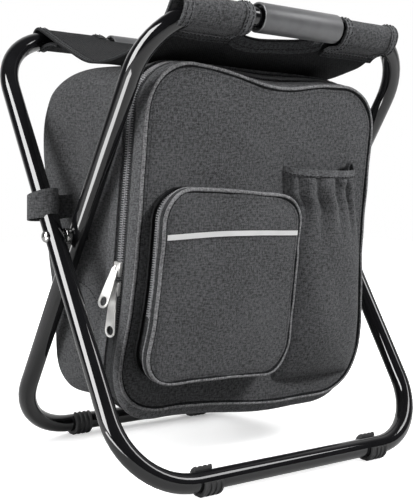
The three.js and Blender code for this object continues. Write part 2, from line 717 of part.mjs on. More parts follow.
const gusset = ringOf(pocketOutline(0), pocketOutline(CLOTH));
const pocketTeethEnd = POCKET_LOW + POCKET_CORNER_R;
const pocketHalf = (side) =>
  zipHalf(pocketOutline, POCKET_ZIP_Y, side, POCKET_TAPE_HALF, pocketTeethEnd);
put(flap, "pocket_gusset", prismY(gusset, POCKET_BACK - POCKET_BASE, POCKET_BACK), canvas);
put(flap, "pocket_zip_base", pocketHalf(1), tape);
const cover = turning(flap, "pocket_fold", 0, POCKET_ZIP_Y, POCKET_LOW + FLAP_FOLD_Z);
put(cover, "pocket_cover", tray(pocketOutline, COVER_FACE, COVER_RIM), canvas);
put(cover, "pocket_piping", piping(pocketOutline, COVER_FACE), trim);
put(cover, "pocket_zip_cover", pocketHalf(-1), tape);
const stripEnd = PIPING + 2 * CLEAR;
const strip = box(
  POCKET_LEFT + stripEnd,
  POCKET_RIGHT - stripEnd,
  COVER_FACE - CLEAR - STRIP_T,
  COVER_FACE - CLEAR,
  STRIP_Z - STRIP_HEIGHT / 2,
  STRIP_Z + STRIP_HEIGHT / 2,
);
put(cover, "pocket_strip", strip, reflective);

// The pocket's own slider, with its tab lying down in the cleft beside the bottle pocket.
const pocketSeat = frameAt(flap, POCKET_RIGHT + SLIDER_OFF, POCKET_ZIP_Y, POCKET_SLIDER_Z);
pocketSeat.name = "pocket_slider";
const tabbed = slider(1).add(pull(false, PIN_OFF));
put(pocketSeat, "pocket_zip_slider", tabbed, nickel);

// Bottle pocket: a bulged wall with a floor, open at its slanting mouth

// The space inside an offset of the pocket's wall, below its mouth raised by a margin.
function bottleForm(offset, low, margin) {
  const half = BOTTLE_HALF_WIDTH + offset;
  const bulge = BOTTLE_BULGE + offset;
  const back = POCKET_BACK - Math.min(offset, 0);
  const wall = arcPoints(BOTTLE_X, POCKET_BACK, half, bulge, Math.PI, 2 * Math.PI, ROUND_SIDES);
  const behind = [
    [BOTTLE_X + half, back],
    [BOTTLE_X - half, back],
  ];
  const plan = polygon(offset < 0 ? [...wall, ...behind] : wall);
  const profile = new THREE.Shape();
  profile.moveTo(back, low);
  profile.lineTo(POCKET_BACK - bulge / 2, low);
  profile.quadraticCurveTo(POCKET_BACK - bulge, low, POCKET_BACK - bulge, low + BOTTLE_TOE);
  profile.lineTo(POCKET_BACK - bulge, BOTTLE_TOP_LEFT + 2 * CUT);
  profile.lineTo(back, BOTTLE_TOP_LEFT + 2 * CUT);
  const left = BOTTLE_X - BOTTLE_HALF_WIDTH;
  const right = BOTTLE_X + BOTTLE_HALF_WIDTH;
  const slope = (BOTTLE_TOP_RIGHT - BOTTLE_TOP_LEFT) / (right - left);
  const mouth = polygon([
    [left - CUT, BOTTLE_LOW - CUT],
    [right + CUT, BOTTLE_LOW - CUT],
    [right + CUT, BOTTLE_TOP_RIGHT + CUT * slope + margin],
    [left - CUT, BOTTLE_TOP_LEFT - CUT * slope + margin],
  ]);
  return prismZ(plan, low - CUT, BOTTLE_TOP_LEFT + CUT)
    .intersect(prismX(profile, left - CUT, right + CUT))
    .intersect(prismY(mouth, POCKET_BACK - 2 * bulge, back + CUT));
}

const bottleWall = bottleForm(0, BOTTLE_LOW, 0)
  .subtract(bottleForm(-CLOTH, BOTTLE_LOW + CLOTH, CUT / 2));
const elastic = bottleForm(CLEAR + CLOTH, BOTTLE_LOW, 0)
  .subtract(bottleForm(CLEAR, BOTTLE_LOW - CLOTH, CUT / 2))
  .subtract(bottleForm(CUT / 2, BOTTLE_LOW - CLOTH, -ELASTIC_HEIGHT));
put(flap, "bottle_pocket", bottleWall, canvas);
put(flap, "bottle_elastic", elastic, darkCanvas);

// Leg straps, level loops from the bag's sides round the outer legs

const STRAP_WALL = STRAP_T + STRAP_SLACK;
const STRAP_SPAN = TUBE_D / Math.cos(SPREAD) + STRAP_HEIGHT * Math.tan(SPREAD) + 2 * STRAP_WALL;
const STRAP_CLEAR_RISE = (STRAP_WALL + STRAP_TO_LEG) / (2 * Math.tan(SPREAD));
const STRAP_RISE = TUBE_R / Math.sin(SPREAD) + STRAP_HEIGHT / 2 + STRAP_CLEAR_RISE; // above the pivot
const STRAP_R = STRAP_SPAN / 2 - STRAP_FLAT;

function legStrap(side) {
  const near = BAG_HALF_WIDTH + CLEAR;
  const far = OUTER_HALF_WIDTH + TUBE_R + STRAP_LOOSE + STRAP_T;
  const middle = STRAP_RISE * Math.tan(SPREAD);
  const low = PIVOT_Z + STRAP_RISE - STRAP_HEIGHT / 2;
  const loop = (inset) => {
    const ends = [side * (near + inset), side * (far - inset)].sort((a, b) => a - b);
    const half = STRAP_SPAN / 2 - inset;
    return rounded(...ends, middle - half, middle + half, STRAP_R - inset);
  };
  return prismZ(ringOf(loop(0), loop(STRAP_T)), low, low + STRAP_HEIGHT);
}

for (const [hand, side] of Object.entries(sides)) {
  put(level, "leg_strap_" + hand, legStrap(side), darkCanvas);
}

// Shoulder straps, in a frame at the bottom of the back, with y off the cloth

const BACK_LOW = HEEL_RUN - BAG_SAG;
const BACK_HIGH = BAG_HEIGHT - (BAG_TOP_DEPTH - RIM_Y) * Math.tan(LEAN) - SHOULDER_DROP;
const BACK_LOW_Y = BAG_FOOT_DEPTH + (BAG_TOP_DEPTH - BAG_FOOT_DEPTH) * HEEL_SHARE;
const back = frameAt(bag, 0, BACK_LOW_Y, BACK_LOW);
back.rotation.x = -Math.atan2(BAG_TOP_DEPTH - BACK_LOW_Y, BACK_HIGH - BACK_LOW);

// A padded strap that leaves the back at its top and bows away from it.
function shoulderPad() {
  const bow = new THREE.CubicBezierCurve(
    new THREE.Vector2(CLEAR, PAD_TOP),
    new THREE.Vector2(PAD_BOW, (PAD_TOP + PAD_LOW) / 2),
    new THREE.Vector2(PAD_END_OFF, (PAD_TOP + PAD_LOW) / 2),
    new THREE.Vector2(PAD_END_OFF, PAD_LOW),
  );
  const run = bow.getPoints(2 * CURVE_STEPS).map((point) => point.toArray());
  return prismX(bandAlong(run, PAD_T, 1), -PAD_WIDTH / 2, PAD_WIDTH / 2);
}

const BUCKLE_Y = PAD_END_OFF + PAD_T / 2;
const BUCKLE_TOP = PAD_LOW - 2 * CLEAR;
const BUCKLE_LOW = BUCKLE_TOP - BUCKLE_HEIGHT;

// Webbing from behind the buckle down to where it is sewn on the back.
function webbing() {
  const behind = BUCKLE_Y - BUCKLE_FRAME / 2 - CLEAR;
  const sewn = CLEAR + WEB_T;
  const run = [
    [behind, (BUCKLE_TOP + BUCKLE_LOW) / 2],
    [behind, BUCKLE_LOW],
    [sewn, WEB_SEWN],
    [sewn, 0],
  ];
  return prismX(bandAlong(run, WEB_T, -1), -WEB_WIDTH / 2, WEB_WIDTH / 2);
}

// A ladder buckle under the pad, with one slot for the webbing.
function buckle() {
  const half = WEB_WIDTH / 2 + CLEAR;
  const wide = half + BUCKLE_FRAME;
  const outline = rounded(-wide, wide, BUCKLE_LOW, BUCKLE_TOP, BUCKLE_R);
  const slotHigh = BUCKLE_TOP - BUCKLE_FRAME;
  const slotLow = BUCKLE_LOW + BUCKLE_FRAME;
  outline.holes.push(
    polygon([
      [-half, slotLow],
      [half, slotLow],
      [half, slotHigh],
      [-half, slotHigh],
    ]),
  );
  return prismY(outline, BUCKLE_Y - BUCKLE_FRAME / 2, BUCKLE_Y + BUCKLE_FRAME / 2);
}

for (const [hand, side] of Object.entries(sides)) {
  const strap = frameAt(back, side * PAD_X, 0, 0);
  put(strap, "shoulder_pad_" + hand, shoulderPad(), darkCanvas);
  put(strap, "strap_webbing_" + hand, webbing(), tape);
  put(strap, "strap_buckle_" + hand, buckle(), satinPlastic);
}

export default stool;
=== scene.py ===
"""Dresses a folding cooler stool, its hoops, cloth seat and insulated bag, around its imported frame."""

import math

import bmesh
import bpy
import numpy as np
from bpy.props import FloatProperty, FloatVectorProperty, PointerProperty
from mathutils import Matrix, Vector


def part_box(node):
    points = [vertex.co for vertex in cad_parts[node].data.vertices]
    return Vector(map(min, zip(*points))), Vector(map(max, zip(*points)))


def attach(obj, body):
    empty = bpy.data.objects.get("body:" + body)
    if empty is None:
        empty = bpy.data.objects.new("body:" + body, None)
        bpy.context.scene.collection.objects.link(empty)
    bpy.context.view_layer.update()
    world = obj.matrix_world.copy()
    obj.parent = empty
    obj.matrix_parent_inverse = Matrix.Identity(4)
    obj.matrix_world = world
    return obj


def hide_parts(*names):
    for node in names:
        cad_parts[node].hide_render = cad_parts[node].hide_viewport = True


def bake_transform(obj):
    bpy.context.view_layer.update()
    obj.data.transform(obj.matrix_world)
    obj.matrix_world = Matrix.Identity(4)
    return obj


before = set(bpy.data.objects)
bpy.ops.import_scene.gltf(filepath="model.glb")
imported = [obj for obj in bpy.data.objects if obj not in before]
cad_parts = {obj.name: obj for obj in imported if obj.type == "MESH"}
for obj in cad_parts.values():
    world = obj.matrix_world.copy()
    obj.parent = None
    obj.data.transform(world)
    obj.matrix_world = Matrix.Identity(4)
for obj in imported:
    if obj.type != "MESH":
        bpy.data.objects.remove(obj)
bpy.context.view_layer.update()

bl_info = {
    "name": "Folding cooler stool",
    "version": (1, 0, 0),
    "blender": (4, 5, 0),
    "location": "View3D > Sidebar > Stool",
    "description": "Builds the looks of a folding cooler stool around its packed frame",
    "category": "Add Mesh",
}

MM = 0.001
SIDES = {"left": -1, "right": 1}


# What a user would change

def length(name, description, default):
    return FloatProperty(name=name, description=description, default=default, min=0, unit="LENGTH")


def colour(name, description, default):
    return FloatVectorProperty(
        name=name, description=description, default=default, size=3, subtype="COLOR", min=0, max=1
    )


class StoolSizes(bpy.types.PropertyGroup):
    """Lengths of the stool, as its frame has them."""

    tube_d: length("Tube", "Outer diameter of the hoops' tube", 0.018)
    bend_r: length("Bend", "Radius of the tube's centre line in a bend", 0.067)
    inner_half: length("Inner hoop", "From the middle to the inner hoop's leg", 0.158)
    outer_half: length("Outer hoop", "From the middle to the outer hoop's leg", 0.182)
    leg_up: length("Leg above the pivot", "From the pivot to the top bar's centre", 0.2323)
    leg_down: length("Leg below the pivot", "From the pivot to the bottom bar's centre", 0.2455)
    pivot_z: length("Pivot height", "Height of the pivot above the floor", 0.22158)
    grip_length: length("Grip length", "Length of a hand grip", 0.096)
    grip_d: length("Grip", "Outer diameter of a hand grip", 0.027)
    foot_length: length("Foot length", "Length of a clip on a bottom bar", 0.019)
    seat_sag: length("Seat sag", "Sag of the sling's middle below its ends", 0.018)
    bag_half: length("Bag half width", "From the middle to the bag's side", 0.141)
    bag_height: length("Bag height", "Height of the flap", 0.313)
    corner_r: length("Bag corner", "Corner radius of the flap", 0.046)
    flap_depth: length("Flap depth", "From the zip to the flap's face", 0.024)
    cloth: length("Cloth", "Thickness of the canvas", 0.0015)
    piping_d: length("Piping", "Diameter of the piping", 0.0034)
    tooth_pitch: length("Zip pitch", "From one zip tooth to the next", 0.0022)


class StoolColours(bpy.types.PropertyGroup):
    """Colours of the stool's finishes."""

    canvas: colour("Canvas", "Charcoal cloth of the bag and the sleeves", (0.075, 0.076, 0.079))
    canvas_dark: colour("Dark canvas", "Straps, elastic and inner edges", (0.035, 0.036, 0.038))
    paint: colour("Tube paint", "Gloss black of the hoops", (0.008, 0.008, 0.009))
    grip: colour("Grip", "Satin plastic of the hand grips", (0.13, 0.131, 0.135))
    rubber: colour("Rubber", "Clips under the bottom bars", (0.03, 0.03, 0.031))
    piping: colour("Piping", "Edges of the flap and the pocket", (0.19, 0.19, 0.195))
    strip: colour("Strip", "Reflective strip on the pocket", (0.68, 0.68, 0.68))
    lining: colour("Lining", "Foil inside the bag", (0.62, 0.64, 0.66))
    teeth: colour("Zip teeth", "Grey plastic of the zips' teeth", (0.27, 0.27, 0.28))
    nickel: colour("Nickel", "Zip sliders and pulls", (0.72, 0.715, 0.7))


def size(name):
    """A length of the stool in millimetres."""
    return getattr(bpy.context.scene.stool_sizes, name) / MM


# Places: drawings are in millimetres, either level with the floor or in the frame of the leaning bag

LEAN = math.radians(6.6)
SPREAD = math.radians(31.83)
LEVEL = Matrix.Scale(MM, 4)
BAG_FOOT = (0, -0.0314, 0.07004)
IN_BAG = Matrix.Translation(BAG_FOOT) @ Matrix.Rotation(LEAN, 4, "X") @ LEVEL
BACK_LOW = (0, 116, 28)
BACK_TILT = math.atan2(34, 183.2)
ON_BACK = IN_BAG @ Matrix.Translation(BACK_LOW) @ Matrix.Rotation(-BACK_TILT, 4, "X")


def smooth(low, high, value):
    """Nought at one value and one at another, with a soft change between them."""
    share = np.clip((value - low) / (high - low), 0, 1)
    return share * share * (3 - 2 * share)


def hump(value, middle, width):
    """One at a middle value, falling off softly to both sides."""
    return np.exp(-(((value - middle) / width) ** 2))


def ripple(a, b, span, seed):
    """Soft uneven waves over two lengths, about -1 to 1, with crests about a span apart."""
    draw = np.random.default_rng(seed)
    total = 0
    for turn, phase, stretch in draw.uniform(0, 1, (5, 3)):
        way = a * np.cos(2 * np.pi * turn) + b * np.sin(2 * np.pi * turn)
        total = total + np.sin(2 * np.pi * (way * (0.7 + 0.8 * stretch) / span + phase))
    return total / 3


def run_of(line):
    """How far along a line each of its points lies."""
    return np.concatenate([[0], np.cumsum(np.linalg.norm(np.diff(line, axis=0), axis=1))])


def read_off(stops, run, table):
    """The columns of a table, read off at stops along its run."""
    return [np.interp(stops, run, column) for column in table.T]


def soften(line, times):
    """Rounds a line's corners by drawing each point towards its neighbours."""
    for _ in range(times):
        line[1:-1] = 0.25 * line[:-2] + 0.5 * line[1:-1] + 0.25 * line[2:]


def direction(vectors):
    return vectors / np.maximum(np.linalg.norm(vectors, axis=-1, keepdims=True), 1e-9)


CORNER_STEPS = 14


class Outline:
    """A rectangle with round corners in x and z, run by shares from the middle of its foot."""

    def __init__(self, left, right, low, high, radius):
        self.left, self.right, self.low, self.high, self.radius = left, right, low, high, radius
        rows = [((left + right) / 2, low, 0, -1)]
        corners = (
            (right - radius, low + radius),
            (right - radius, high - radius),
            (left + radius, high - radius),
            (left + radius, low + radius),
        )
        for turn, (x, z) in enumerate(corners):
            for i in range(CORNER_STEPS + 1):
                a = math.pi / 2 * (turn - 1 + i / CORNER_STEPS)
                rows.append((x + radius * math.cos(a), z + radius * math.sin(a), math.cos(a), math.sin(a)))
        rows.append(rows[0])
        self.rows = np.array(rows)
        self.run = run_of(self.rows[:, :2])
        self.length = self.run[-1]

    def at(self, share, inset=0.0):
        """A point an inset inside the outline, and the way out of it."""
        way = np.mod(share, 1 + 1e-12) * self.length
        x, z, out_x, out_z = read_off(way, self.run, self.rows)
        return x - inset * out_x, z - inset * out_z, out_x, out_z

    def sides_at(self, z):
        """Where the left and right sides lie at a height."""
        past = np.maximum(self.low + self.radius - z, z - self.high + self.radius)
        off = np.clip(past, 0, self.radius)
        shift = self.radius - np.sqrt(np.maximum(self.radius**2 - off**2, 0))
        return self.left + shift, self.right - shift

    def share_up(self, z, margin):
        return (z - self.low - margin) / (self.high - self.low - 2 * margin)

    def spot(self, across, along, margin):
        """The point at two shares of a panel that lies a margin inside the outline."""
        z = self.low + margin + (self.high - self.low - 2 * margin) * along
        left, right = self.sides_at(z)
        return left + margin + (right - left - 2 * margin) * across, z

    def ring(self, line, inset, margin):
        """The two shares of such a panel along a line an inset inside the outline."""
        x, z, _, _ = self.at(line, inset)
        left, right = self.sides_at(z)
        return (x - left - margin) / (right - left - 2 * margin), self.share_up(z, margin)


POCKET = Outline(left=-132, right=28, low=31, high=203.5, radius=30)


def flap_outline():
    half, high, corner = (round(size(key), 3) for key in ("bag_half", "bag_height", "corner_r"))
    return Outline(-half, half, 0, high, corner)


# How far the filled bag hangs off its cut shape
TOP_DIP, RIGHT_DIP = 15.0, 6.0
RIM_RISE, SEAT_PRESS = 4.0, 2.2
FOOT_SAG, BELLY_SAG, FOLD_SAG = 4.0, 11.0, 10.0
LEFT_SPLAY, RIGHT_SPLAY = 8.0, 12.0
LEFT_CORNER_OUT, LEFT_CORNER_DROP = 4.0, 4.0
RIGHT_CORNER_OUT, RIGHT_CORNER_DROP = 3.0, 6.0


def drape(x, y, z):
    """Hangs a point of the bag: its top dips to the front, its foot sags and its low corners splay."""
    half, high = size("bag_half"), size("bag_height")
    near = 1 - smooth(25, 120, y)
    front = 1 - smooth(-30, 24, y)
    dip = TOP_DIP * hump(x, 12, 62) + RIGHT_DIP * smooth(40, 120, x)
    top = dip * smooth(140, high, z) * (0.06 + 0.94 * front) * near
    rim = RIM_RISE * hump(x, 12, 80) * smooth(270, high, z) * (1 - front) * (1 - smooth(8, 22, y)) * near
    press = SEAT_PRESS * smooth(280, 308, z) * smooth(10, 26, y) * (1 - smooth(95, 135, y))
    foot = (1 - smooth(0, 130, z)) * (0.5 + 0.5 * near)
    belly = (1 - smooth(0, 55, z)) * (0.5 + 0.5 * near)
    fold = smooth(-24, -8, y) * (1 - smooth(10, 50, y))
    sag = FOOT_SAG * foot + (BELLY_SAG * hump(x, 45, 80) + FOLD_SAG * fold) * belly
    left = smooth(40, half, -x) * hump(z, 38, 48) * near * (1 - 0.75 * smooth(-24, 0, y))
    right = smooth(20, half, x) * hump(z, 55, 75) * near * (1 - 0.7 * smooth(-5, 30, y))
    left_corner = smooth(75, half, -x) * (1 - smooth(0, 70, z)) * near
    right_corner = smooth(60, half, x) * (1 - smooth(0, 90, z)) * near
    out = RIGHT_SPLAY * right + RIGHT_CORNER_OUT * right_corner
    out = out - LEFT_SPLAY * left - LEFT_CORNER_OUT * left_corner
    drop = LEFT_CORNER_DROP * left_corner + RIGHT_CORNER_DROP * right_corner
    return np.stack([x + out, y + 0 * x, z - top + rim - press - sag - drop], -1)


# Meshes

def clear_selection():
    bpy.ops.object.select_all(action="DESELECT")


def named(name):
    piece = bpy.context.object
    piece.name = name
    piece.data.name = name
    return piece


def points_of(piece):
    table = np.empty(3 * len(piece.data.vertices))
    piece.data.vertices.foreach_get("co", table)
    return table.reshape(-1, 3)


def set_points(piece, points):
    piece.data.vertices.foreach_set("co", np.ascontiguousarray(points, dtype=float).ravel())
    piece.data.update()


def make_active(piece):
    clear_selection()
    piece.select_set(True)
    bpy.context.view_layer.objects.active = piece


def finish_with(piece, kind, **settings):
    """Adds a modifier with its settings and applies it."""
    make_active(piece)
    modifier = piece.modifiers.new(kind.lower(), kind)
    for key, value in settings.items():
        setattr(modifier, key, value)
    bpy.ops.object.modifier_apply(modifier=modifier.name)


def in_edit_mode(piece, *steps):
    """Runs mesh operators on all of a piece."""
    make_active(piece)
    bpy.ops.object.mode_set(mode="EDIT")
    for step in steps:
        bpy.ops.mesh.select_all(action="SELECT")
        step()
    bpy.ops.object.mode_set(mode="OBJECT")


def pick_faces(piece, test):
    """Selects, in edit mode, the faces whose middle and normal pass a test."""
    bpy.ops.mesh.select_mode(type="FACE")
    bpy.ops.mesh.select_all(action="DESELECT")
    shape = bmesh.from_edit_mesh(piece.data)
    for face in shape.faces:
        face.select_set(bool(test(face.calc_center_median(), face.normal)))
    bmesh.update_edit_mesh(piece.data)


def pick_edges(piece, test):
    """Selects, in edit mode, the edges whose two ends pass a test."""
    bpy.ops.mesh.select_mode(type="EDGE")
    bpy.ops.mesh.select_all(action="DESELECT")
    shape = bmesh.from_edit_mesh(piece.data)
    for edge in shape.edges:
        edge.select_set(all(test(corner.co) for corner in edge.verts))
    bmesh.update_edit_mesh(piece.data)


def sew_shut(piece, gap):
    in_edit_mode(
        piece,
        lambda: bpy.ops.mesh.remove_doubles(threshold=gap),
        lambda: bpy.ops.mesh.normals_make_consistent(inside=False),
    )


def smooth_faces(piece, degrees):
    make_active(piece)
    bpy.ops.object.shade_smooth_by_angle(angle=math.radians(degrees))


def round_edges(piece, width, segments, degrees):
    """Rounds the edges that turn by more than an angle."""
    sharp = {"limit_method": "ANGLE", "angle_limit": math.radians(degrees)}
    finish_with(piece, "BEVEL", width=width * MM, segments=segments, **sharp)


def lay_weave(piece):
    """Gives a piece a flat map in metres, so that threads keep their size."""
    in_edit_mode(
        piece,
        lambda: bpy.ops.uv.cube_project(cube_size=1, correct_aspect=False, scale_to_bounds=False),
    )


def cloth_panel(name, columns, rows, surface, thick, home=IN_BAG, keep=None):
    """A piece of cloth: a grid whose points follow a surface of two shares, with a thickness."""
    clear_selection()
    bpy.ops.mesh.primitive_grid_add(x_subdivisions=columns, y_subdivisions=rows, size=2)
    piece = named(name)
    if keep:
        bpy.ops.object.mode_set(mode="EDIT")
        pick_faces(piece, lambda middle, _: not keep((middle.x + 1) / 2, (middle.y + 1) / 2))
        bpy.ops.mesh.delete(type="FACE")
        bpy.ops.object.mode_set(mode="OBJECT")
    grid = points_of(piece)
    set_points(piece, surface((grid[:, 0] + 1) / 2, (grid[:, 1] + 1) / 2))
    sew_shut(piece, 0.02)
    piece.data.transform(home)
    if thick:
        finish_with(piece, "SOLIDIFY", thickness=thick * MM, offset=0, use_even_offset=True)
    lay_weave(piece)
    smooth_faces(piece, 50)
    return piece


def lifted(surface, across, along, lift):
    """Points off a surface, and the directions in which it faces them."""
    step = 1e-3
    over = surface(across + step, along) - surface(across - step, along)
    up = direction(np.cross(over, surface(across, along + step) - surface(across, along - step)))
    return surface(across, along) + lift * up, up * np.sign(lift)


def row_on(surface, place, line, lift):
    """A row along a surface, at one place across it."""
    return lifted(surface, np.full(len(line), place), line, lift)


RING_SIDES = 10


def tube_ring(name, spine, radius, steps):
    """A closed tube round a spine, which gives points and outward directions by share."""
    def surface(across, along):
        middle, out = spine(along)
        step = 5e-4
        ahead = direction(spine(along + step)[0] - spine(along - step)[0])
        turn = 2 * np.pi * across[:, None]
        return middle + radius * (np.cos(turn) * out + np.sin(turn) * np.cross(ahead, out))

    return cloth_panel(name, RING_SIDES, steps, surface, 0)


def copies(name, unit, places, home):
    """One mesh of many copies of a unit, which is used up."""
    base = points_of(unit)
    faces = [list(face.vertices) for face in unit.data.polygons]
    bpy.data.objects.remove(unit)
    turned = np.einsum("nij,vj->nvi", places[:, :3, :3], base) + places[:, None, :3, 3]
    sets = [[corner + i * len(base) for corner in face] for i in range(len(places)) for face in faces]
    mesh = bpy.data.meshes.new(name)
    mesh.from_pydata(turned.reshape(-1, 3).tolist(), [], sets)
    mesh.transform(home)
    piece = bpy.data.objects.new(name, mesh)
    bpy.context.scene.collection.objects.link(piece)
    smooth_faces(piece, 60)
    return piece


def places_along(path, ups, pitch, start=0.5):
    """Frames a pitch apart along a path: x runs along it and z stands off it."""
    run, reach = run_of(path), 0.3
    stops = np.arange(start * pitch, run[-1], pitch)
    spot, ahead, behind = (np.stack(read_off(stops + off, run, path), -1) for off in (0, reach, -reach))
    along = direction(ahead - behind)
    side = direction(np.cross(np.stack(read_off(stops, run, ups), -1), along))
    frames = np.tile(np.eye(4), (len(stops), 1, 1))
    frames[:, :3] = np.stack([along, side, np.cross(along, side), spot], -1)
    return frames


def rounded_block(along, across, high, edge):
    """A small block with rounded edges, in millimetres."""
    clear_selection()
    bpy.ops.mesh.primitive_cube_add(size=1)
    block = named("unit")
    block.data.transform(Matrix.Diagonal((along, across, high, 1)))
    in_edit_mode(block, lambda: bpy.ops.mesh.bevel(offset=edge, segments=1, affect="EDGES"))
    return block


STITCH = 3.0
STITCH_PITCH = 4.2
THREAD = 0.7


def stitches(name, rows, home=IN_BAG):
    """Rows of stitches, each a path with its upward directions."""
    unit = rounded_block(STITCH, THREAD, THREAD, 0.3)
    places = np.concatenate([places_along(path, ups, STITCH_PITCH) for path, ups in rows])
    return copies(name, unit, places, home)


FINISHES = {}


def give(piece, finish, body=None, replaced=()):
    """Sets a piece's finish, its body and the nodes it replaces."""
    piece.data.materials.clear()
    piece.data.materials.append(FINISHES[finish])
    if replaced:
        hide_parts(*replaced)
    if body:
        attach(piece, body)


# Finishes

def shader_group(name, inputs, outputs):
    group = bpy.data.node_groups.new(name, "ShaderNodeTree")
    for label, kind, value in inputs:
        socket = group.interface.new_socket(label, in_out="INPUT", socket_type=kind)
        if value is not None:
            socket.default_value = value
    for label, kind in outputs:
        group.interface.new_socket(label, in_out="OUTPUT", socket_type=kind)
    return group, group.nodes.new("NodeGroupInput"), group.nodes.new("NodeGroupOutput")


def math_node(tree, operation, first, second=None):
    node = tree.nodes.new("ShaderNodeMath")
    node.operation = operation
    for socket, value in zip(node.inputs, (first, second)):
        if isinstance(value, bpy.types.NodeSocket):
            tree.links.new(value, socket)
        elif value is not None:
            socket.default_value = value
    return node.outputs[0]


def vector_node(tree, operation, source, value):
    node = tree.nodes.new("ShaderNodeVectorMath")
    node.operation = operation
    node.inputs[1].default_value = value
    tree.links.new(source, node.inputs[0])
    return node


def set_inputs(node, values):
    for label, value in values.items():
        node.inputs[label].default_value = value


def ramp(tree, value, first, last, low, high, kind="LINEAR"):
    """A value moved from the range between first and last to the one between low and high."""
    node = tree.nodes.new("ShaderNodeMapRange")
    node.interpolation_type = kind
    tree.links.new(value, node.inputs["Value"])
    set_inputs(node, {"From Min": first, "From Max": last, "To Min": low, "To Max": high})
    return node.outputs["Result"]


def weave_group():
    """Plain weave over a flat map in metres: thread height, and uneven shade of the yarn."""
    group, source, sink = shader_group(
        "Woven cloth",
        [("Vector", "NodeSocketVector", None), ("Thread", "NodeSocketFloat", 0.0013)],
        [("Height", "NodeSocketFloat"), ("Shade", "NodeSocketFloat")],
    )
    parts = group.nodes.new("ShaderNodeSeparateXYZ")
    group.links.new(source.outputs["Vector"], parts.inputs[0])
    waves = []
    for axis in range(2):
        steps = math_node(group, "DIVIDE", parts.outputs[axis], source.outputs["Thread"])
        waves.append(math_node(group, "SINE", math_node(group, "MULTIPLY", steps, math.pi)))
    crossing = math_node(group, "MULTIPLY", waves[0], waves[1])
    over = math_node(group, "GREATER_THAN", crossing, 0.0)
    warp, weft = (math_node(group, "ABSOLUTE", wave) for wave in waves)
    high = math_node(group, "MULTIPLY", over, warp)
    low = math_node(group, "MULTIPLY", math_node(group, "SUBTRACT", 1.0, over), weft)
    group.links.new(math_node(group, "ADD", high, low), sink.inputs["Height"])
    strands = []
    for stretch in ((1.0, 0.35, 1.0), (0.35, 1.0, 1.0)):
        run = vector_node(group, "MULTIPLY", source.outputs["Vector"], stretch)
        yarn = group.nodes.new("ShaderNodeTexNoise")
        set_inputs(yarn, {"Scale": 720, "Detail": 3})
        group.links.new(run.outputs[0], yarn.inputs["Vector"])
        strands.append(yarn.outputs["Fac"])
    both = math_node(group, "MULTIPLY", math_node(group, "ADD", *strands), 0.5)
    group.links.new(both, sink.inputs["Shade"])
    return group


def scuff_group():
    """Broad uneven wear over the object: a slow cloudiness and fine specks."""
    group, source, sink = shader_group(
        "Handled surface",
        [("Scale", "NodeSocketFloat", 20.0)],
        [("Clouds", "NodeSocketFloat"), ("Specks", "NodeSocketFloat")],
    )
    where = group.nodes.new("ShaderNodeTexCoord")
    for label, times in (("Clouds", 1.0), ("Specks", 24.0)):
        noise = group.nodes.new("ShaderNodeTexNoise")
        noise.inputs["Detail"].default_value = 4
        group.links.new(where.outputs["Object"], noise.inputs["Vector"])
        scale = math_node(group, "MULTIPLY", source.outputs["Scale"], times)
        group.links.new(scale, noise.inputs["Scale"])
        group.links.new(noise.outputs["Fac"], sink.inputs[label])
    return group


def use_group(tree, group, **values):
    node = tree.nodes.new("ShaderNodeGroup")
    node.node_tree = group
    set_inputs(node, values)
    return node


def new_finish(name):
    finish = bpy.data.materials.new(name)
    finish.use_nodes = True
    return finish, finish.node_tree, finish.node_tree.nodes["Principled BSDF"]


# The levels of a noise between which a tone or a roughness changes
NOISE_LOW, NOISE_HIGH = 0.3, 0.7
# How much the threads' height (painted shade, darker in the hollows between threads), the yarn and wear count
# in a cloth's dye, and the level taken off their sum
THREAD_SHADE_PART, YARN_PART, WEAR_PART, DYE_LEVEL = 0.3, 1.5, 0.2, 0.53
DYE_DARK, DYE_PALE = 0.3, 1.75
CLOTH_ROUGH = (0.82, 0.94)


def tone_between(tree, factor, low, high):
    """A colour mixed by a noise."""
    node = tree.nodes.new("ShaderNodeValToRGB")
    tree.links.new(factor, node.inputs["Fac"])
    for stop, place, tone in zip(node.color_ramp.elements, (NOISE_LOW, NOISE_HIGH), (low, high)):
        stop.position, stop.color = place, (*tone, 1)
    return node.outputs["Color"]


def bump(tree, height, strength, distance):
    node = tree.nodes.new("ShaderNodeBump")
    set_inputs(node, {"Strength": strength, "Distance": distance})
    tree.links.new(height, node.inputs["Height"])
    return node.outputs["Normal"]


def shade(tone, by):
    return tuple(min(1.0, part * by) for part in tone)


def cloth_finish(groups, name, tone, thread, depth):
    """Woven polyester: threads in the bump, and an uneven dye with painted shade in the hollows between
    threads.
    """
    finish, tree, skin = new_finish(name)
    flat = tree.nodes.new("ShaderNodeUVMap")
    weave = use_group(tree, groups["weave"], Thread=thread)
    tree.links.new(flat.outputs[0], weave.inputs["Vector"])
    clouds = use_group(tree, groups["scuff"], Scale=14.0).outputs["Clouds"]
    mix = math_node(tree, "MULTIPLY", weave.outputs["Height"], THREAD_SHADE_PART)
    for source, part in ((weave.outputs["Shade"], YARN_PART), (clouds, WEAR_PART)):
        mix = math_node(tree, "ADD", mix, math_node(tree, "MULTIPLY", source, part))
    mix = math_node(tree, "SUBTRACT", mix, DYE_LEVEL)
    dye = tone_between(tree, mix, shade(tone, DYE_DARK), shade(tone, DYE_PALE))
    tree.links.new(dye, skin.inputs["Base Color"])
    rough = ramp(tree, clouds, NOISE_LOW, NOISE_HIGH, *CLOTH_ROUGH)
    tree.links.new(rough, skin.inputs["Roughness"])
    tree.links.new(bump(tree, weave.outputs["Height"], 0.5, depth), skin.inputs["Normal"])
    set_inputs(skin, {"Sheen Weight": min(0.08, tone[0]), "Sheen Roughness": 0.5, "Specular IOR Level": 0.08})
    return finish


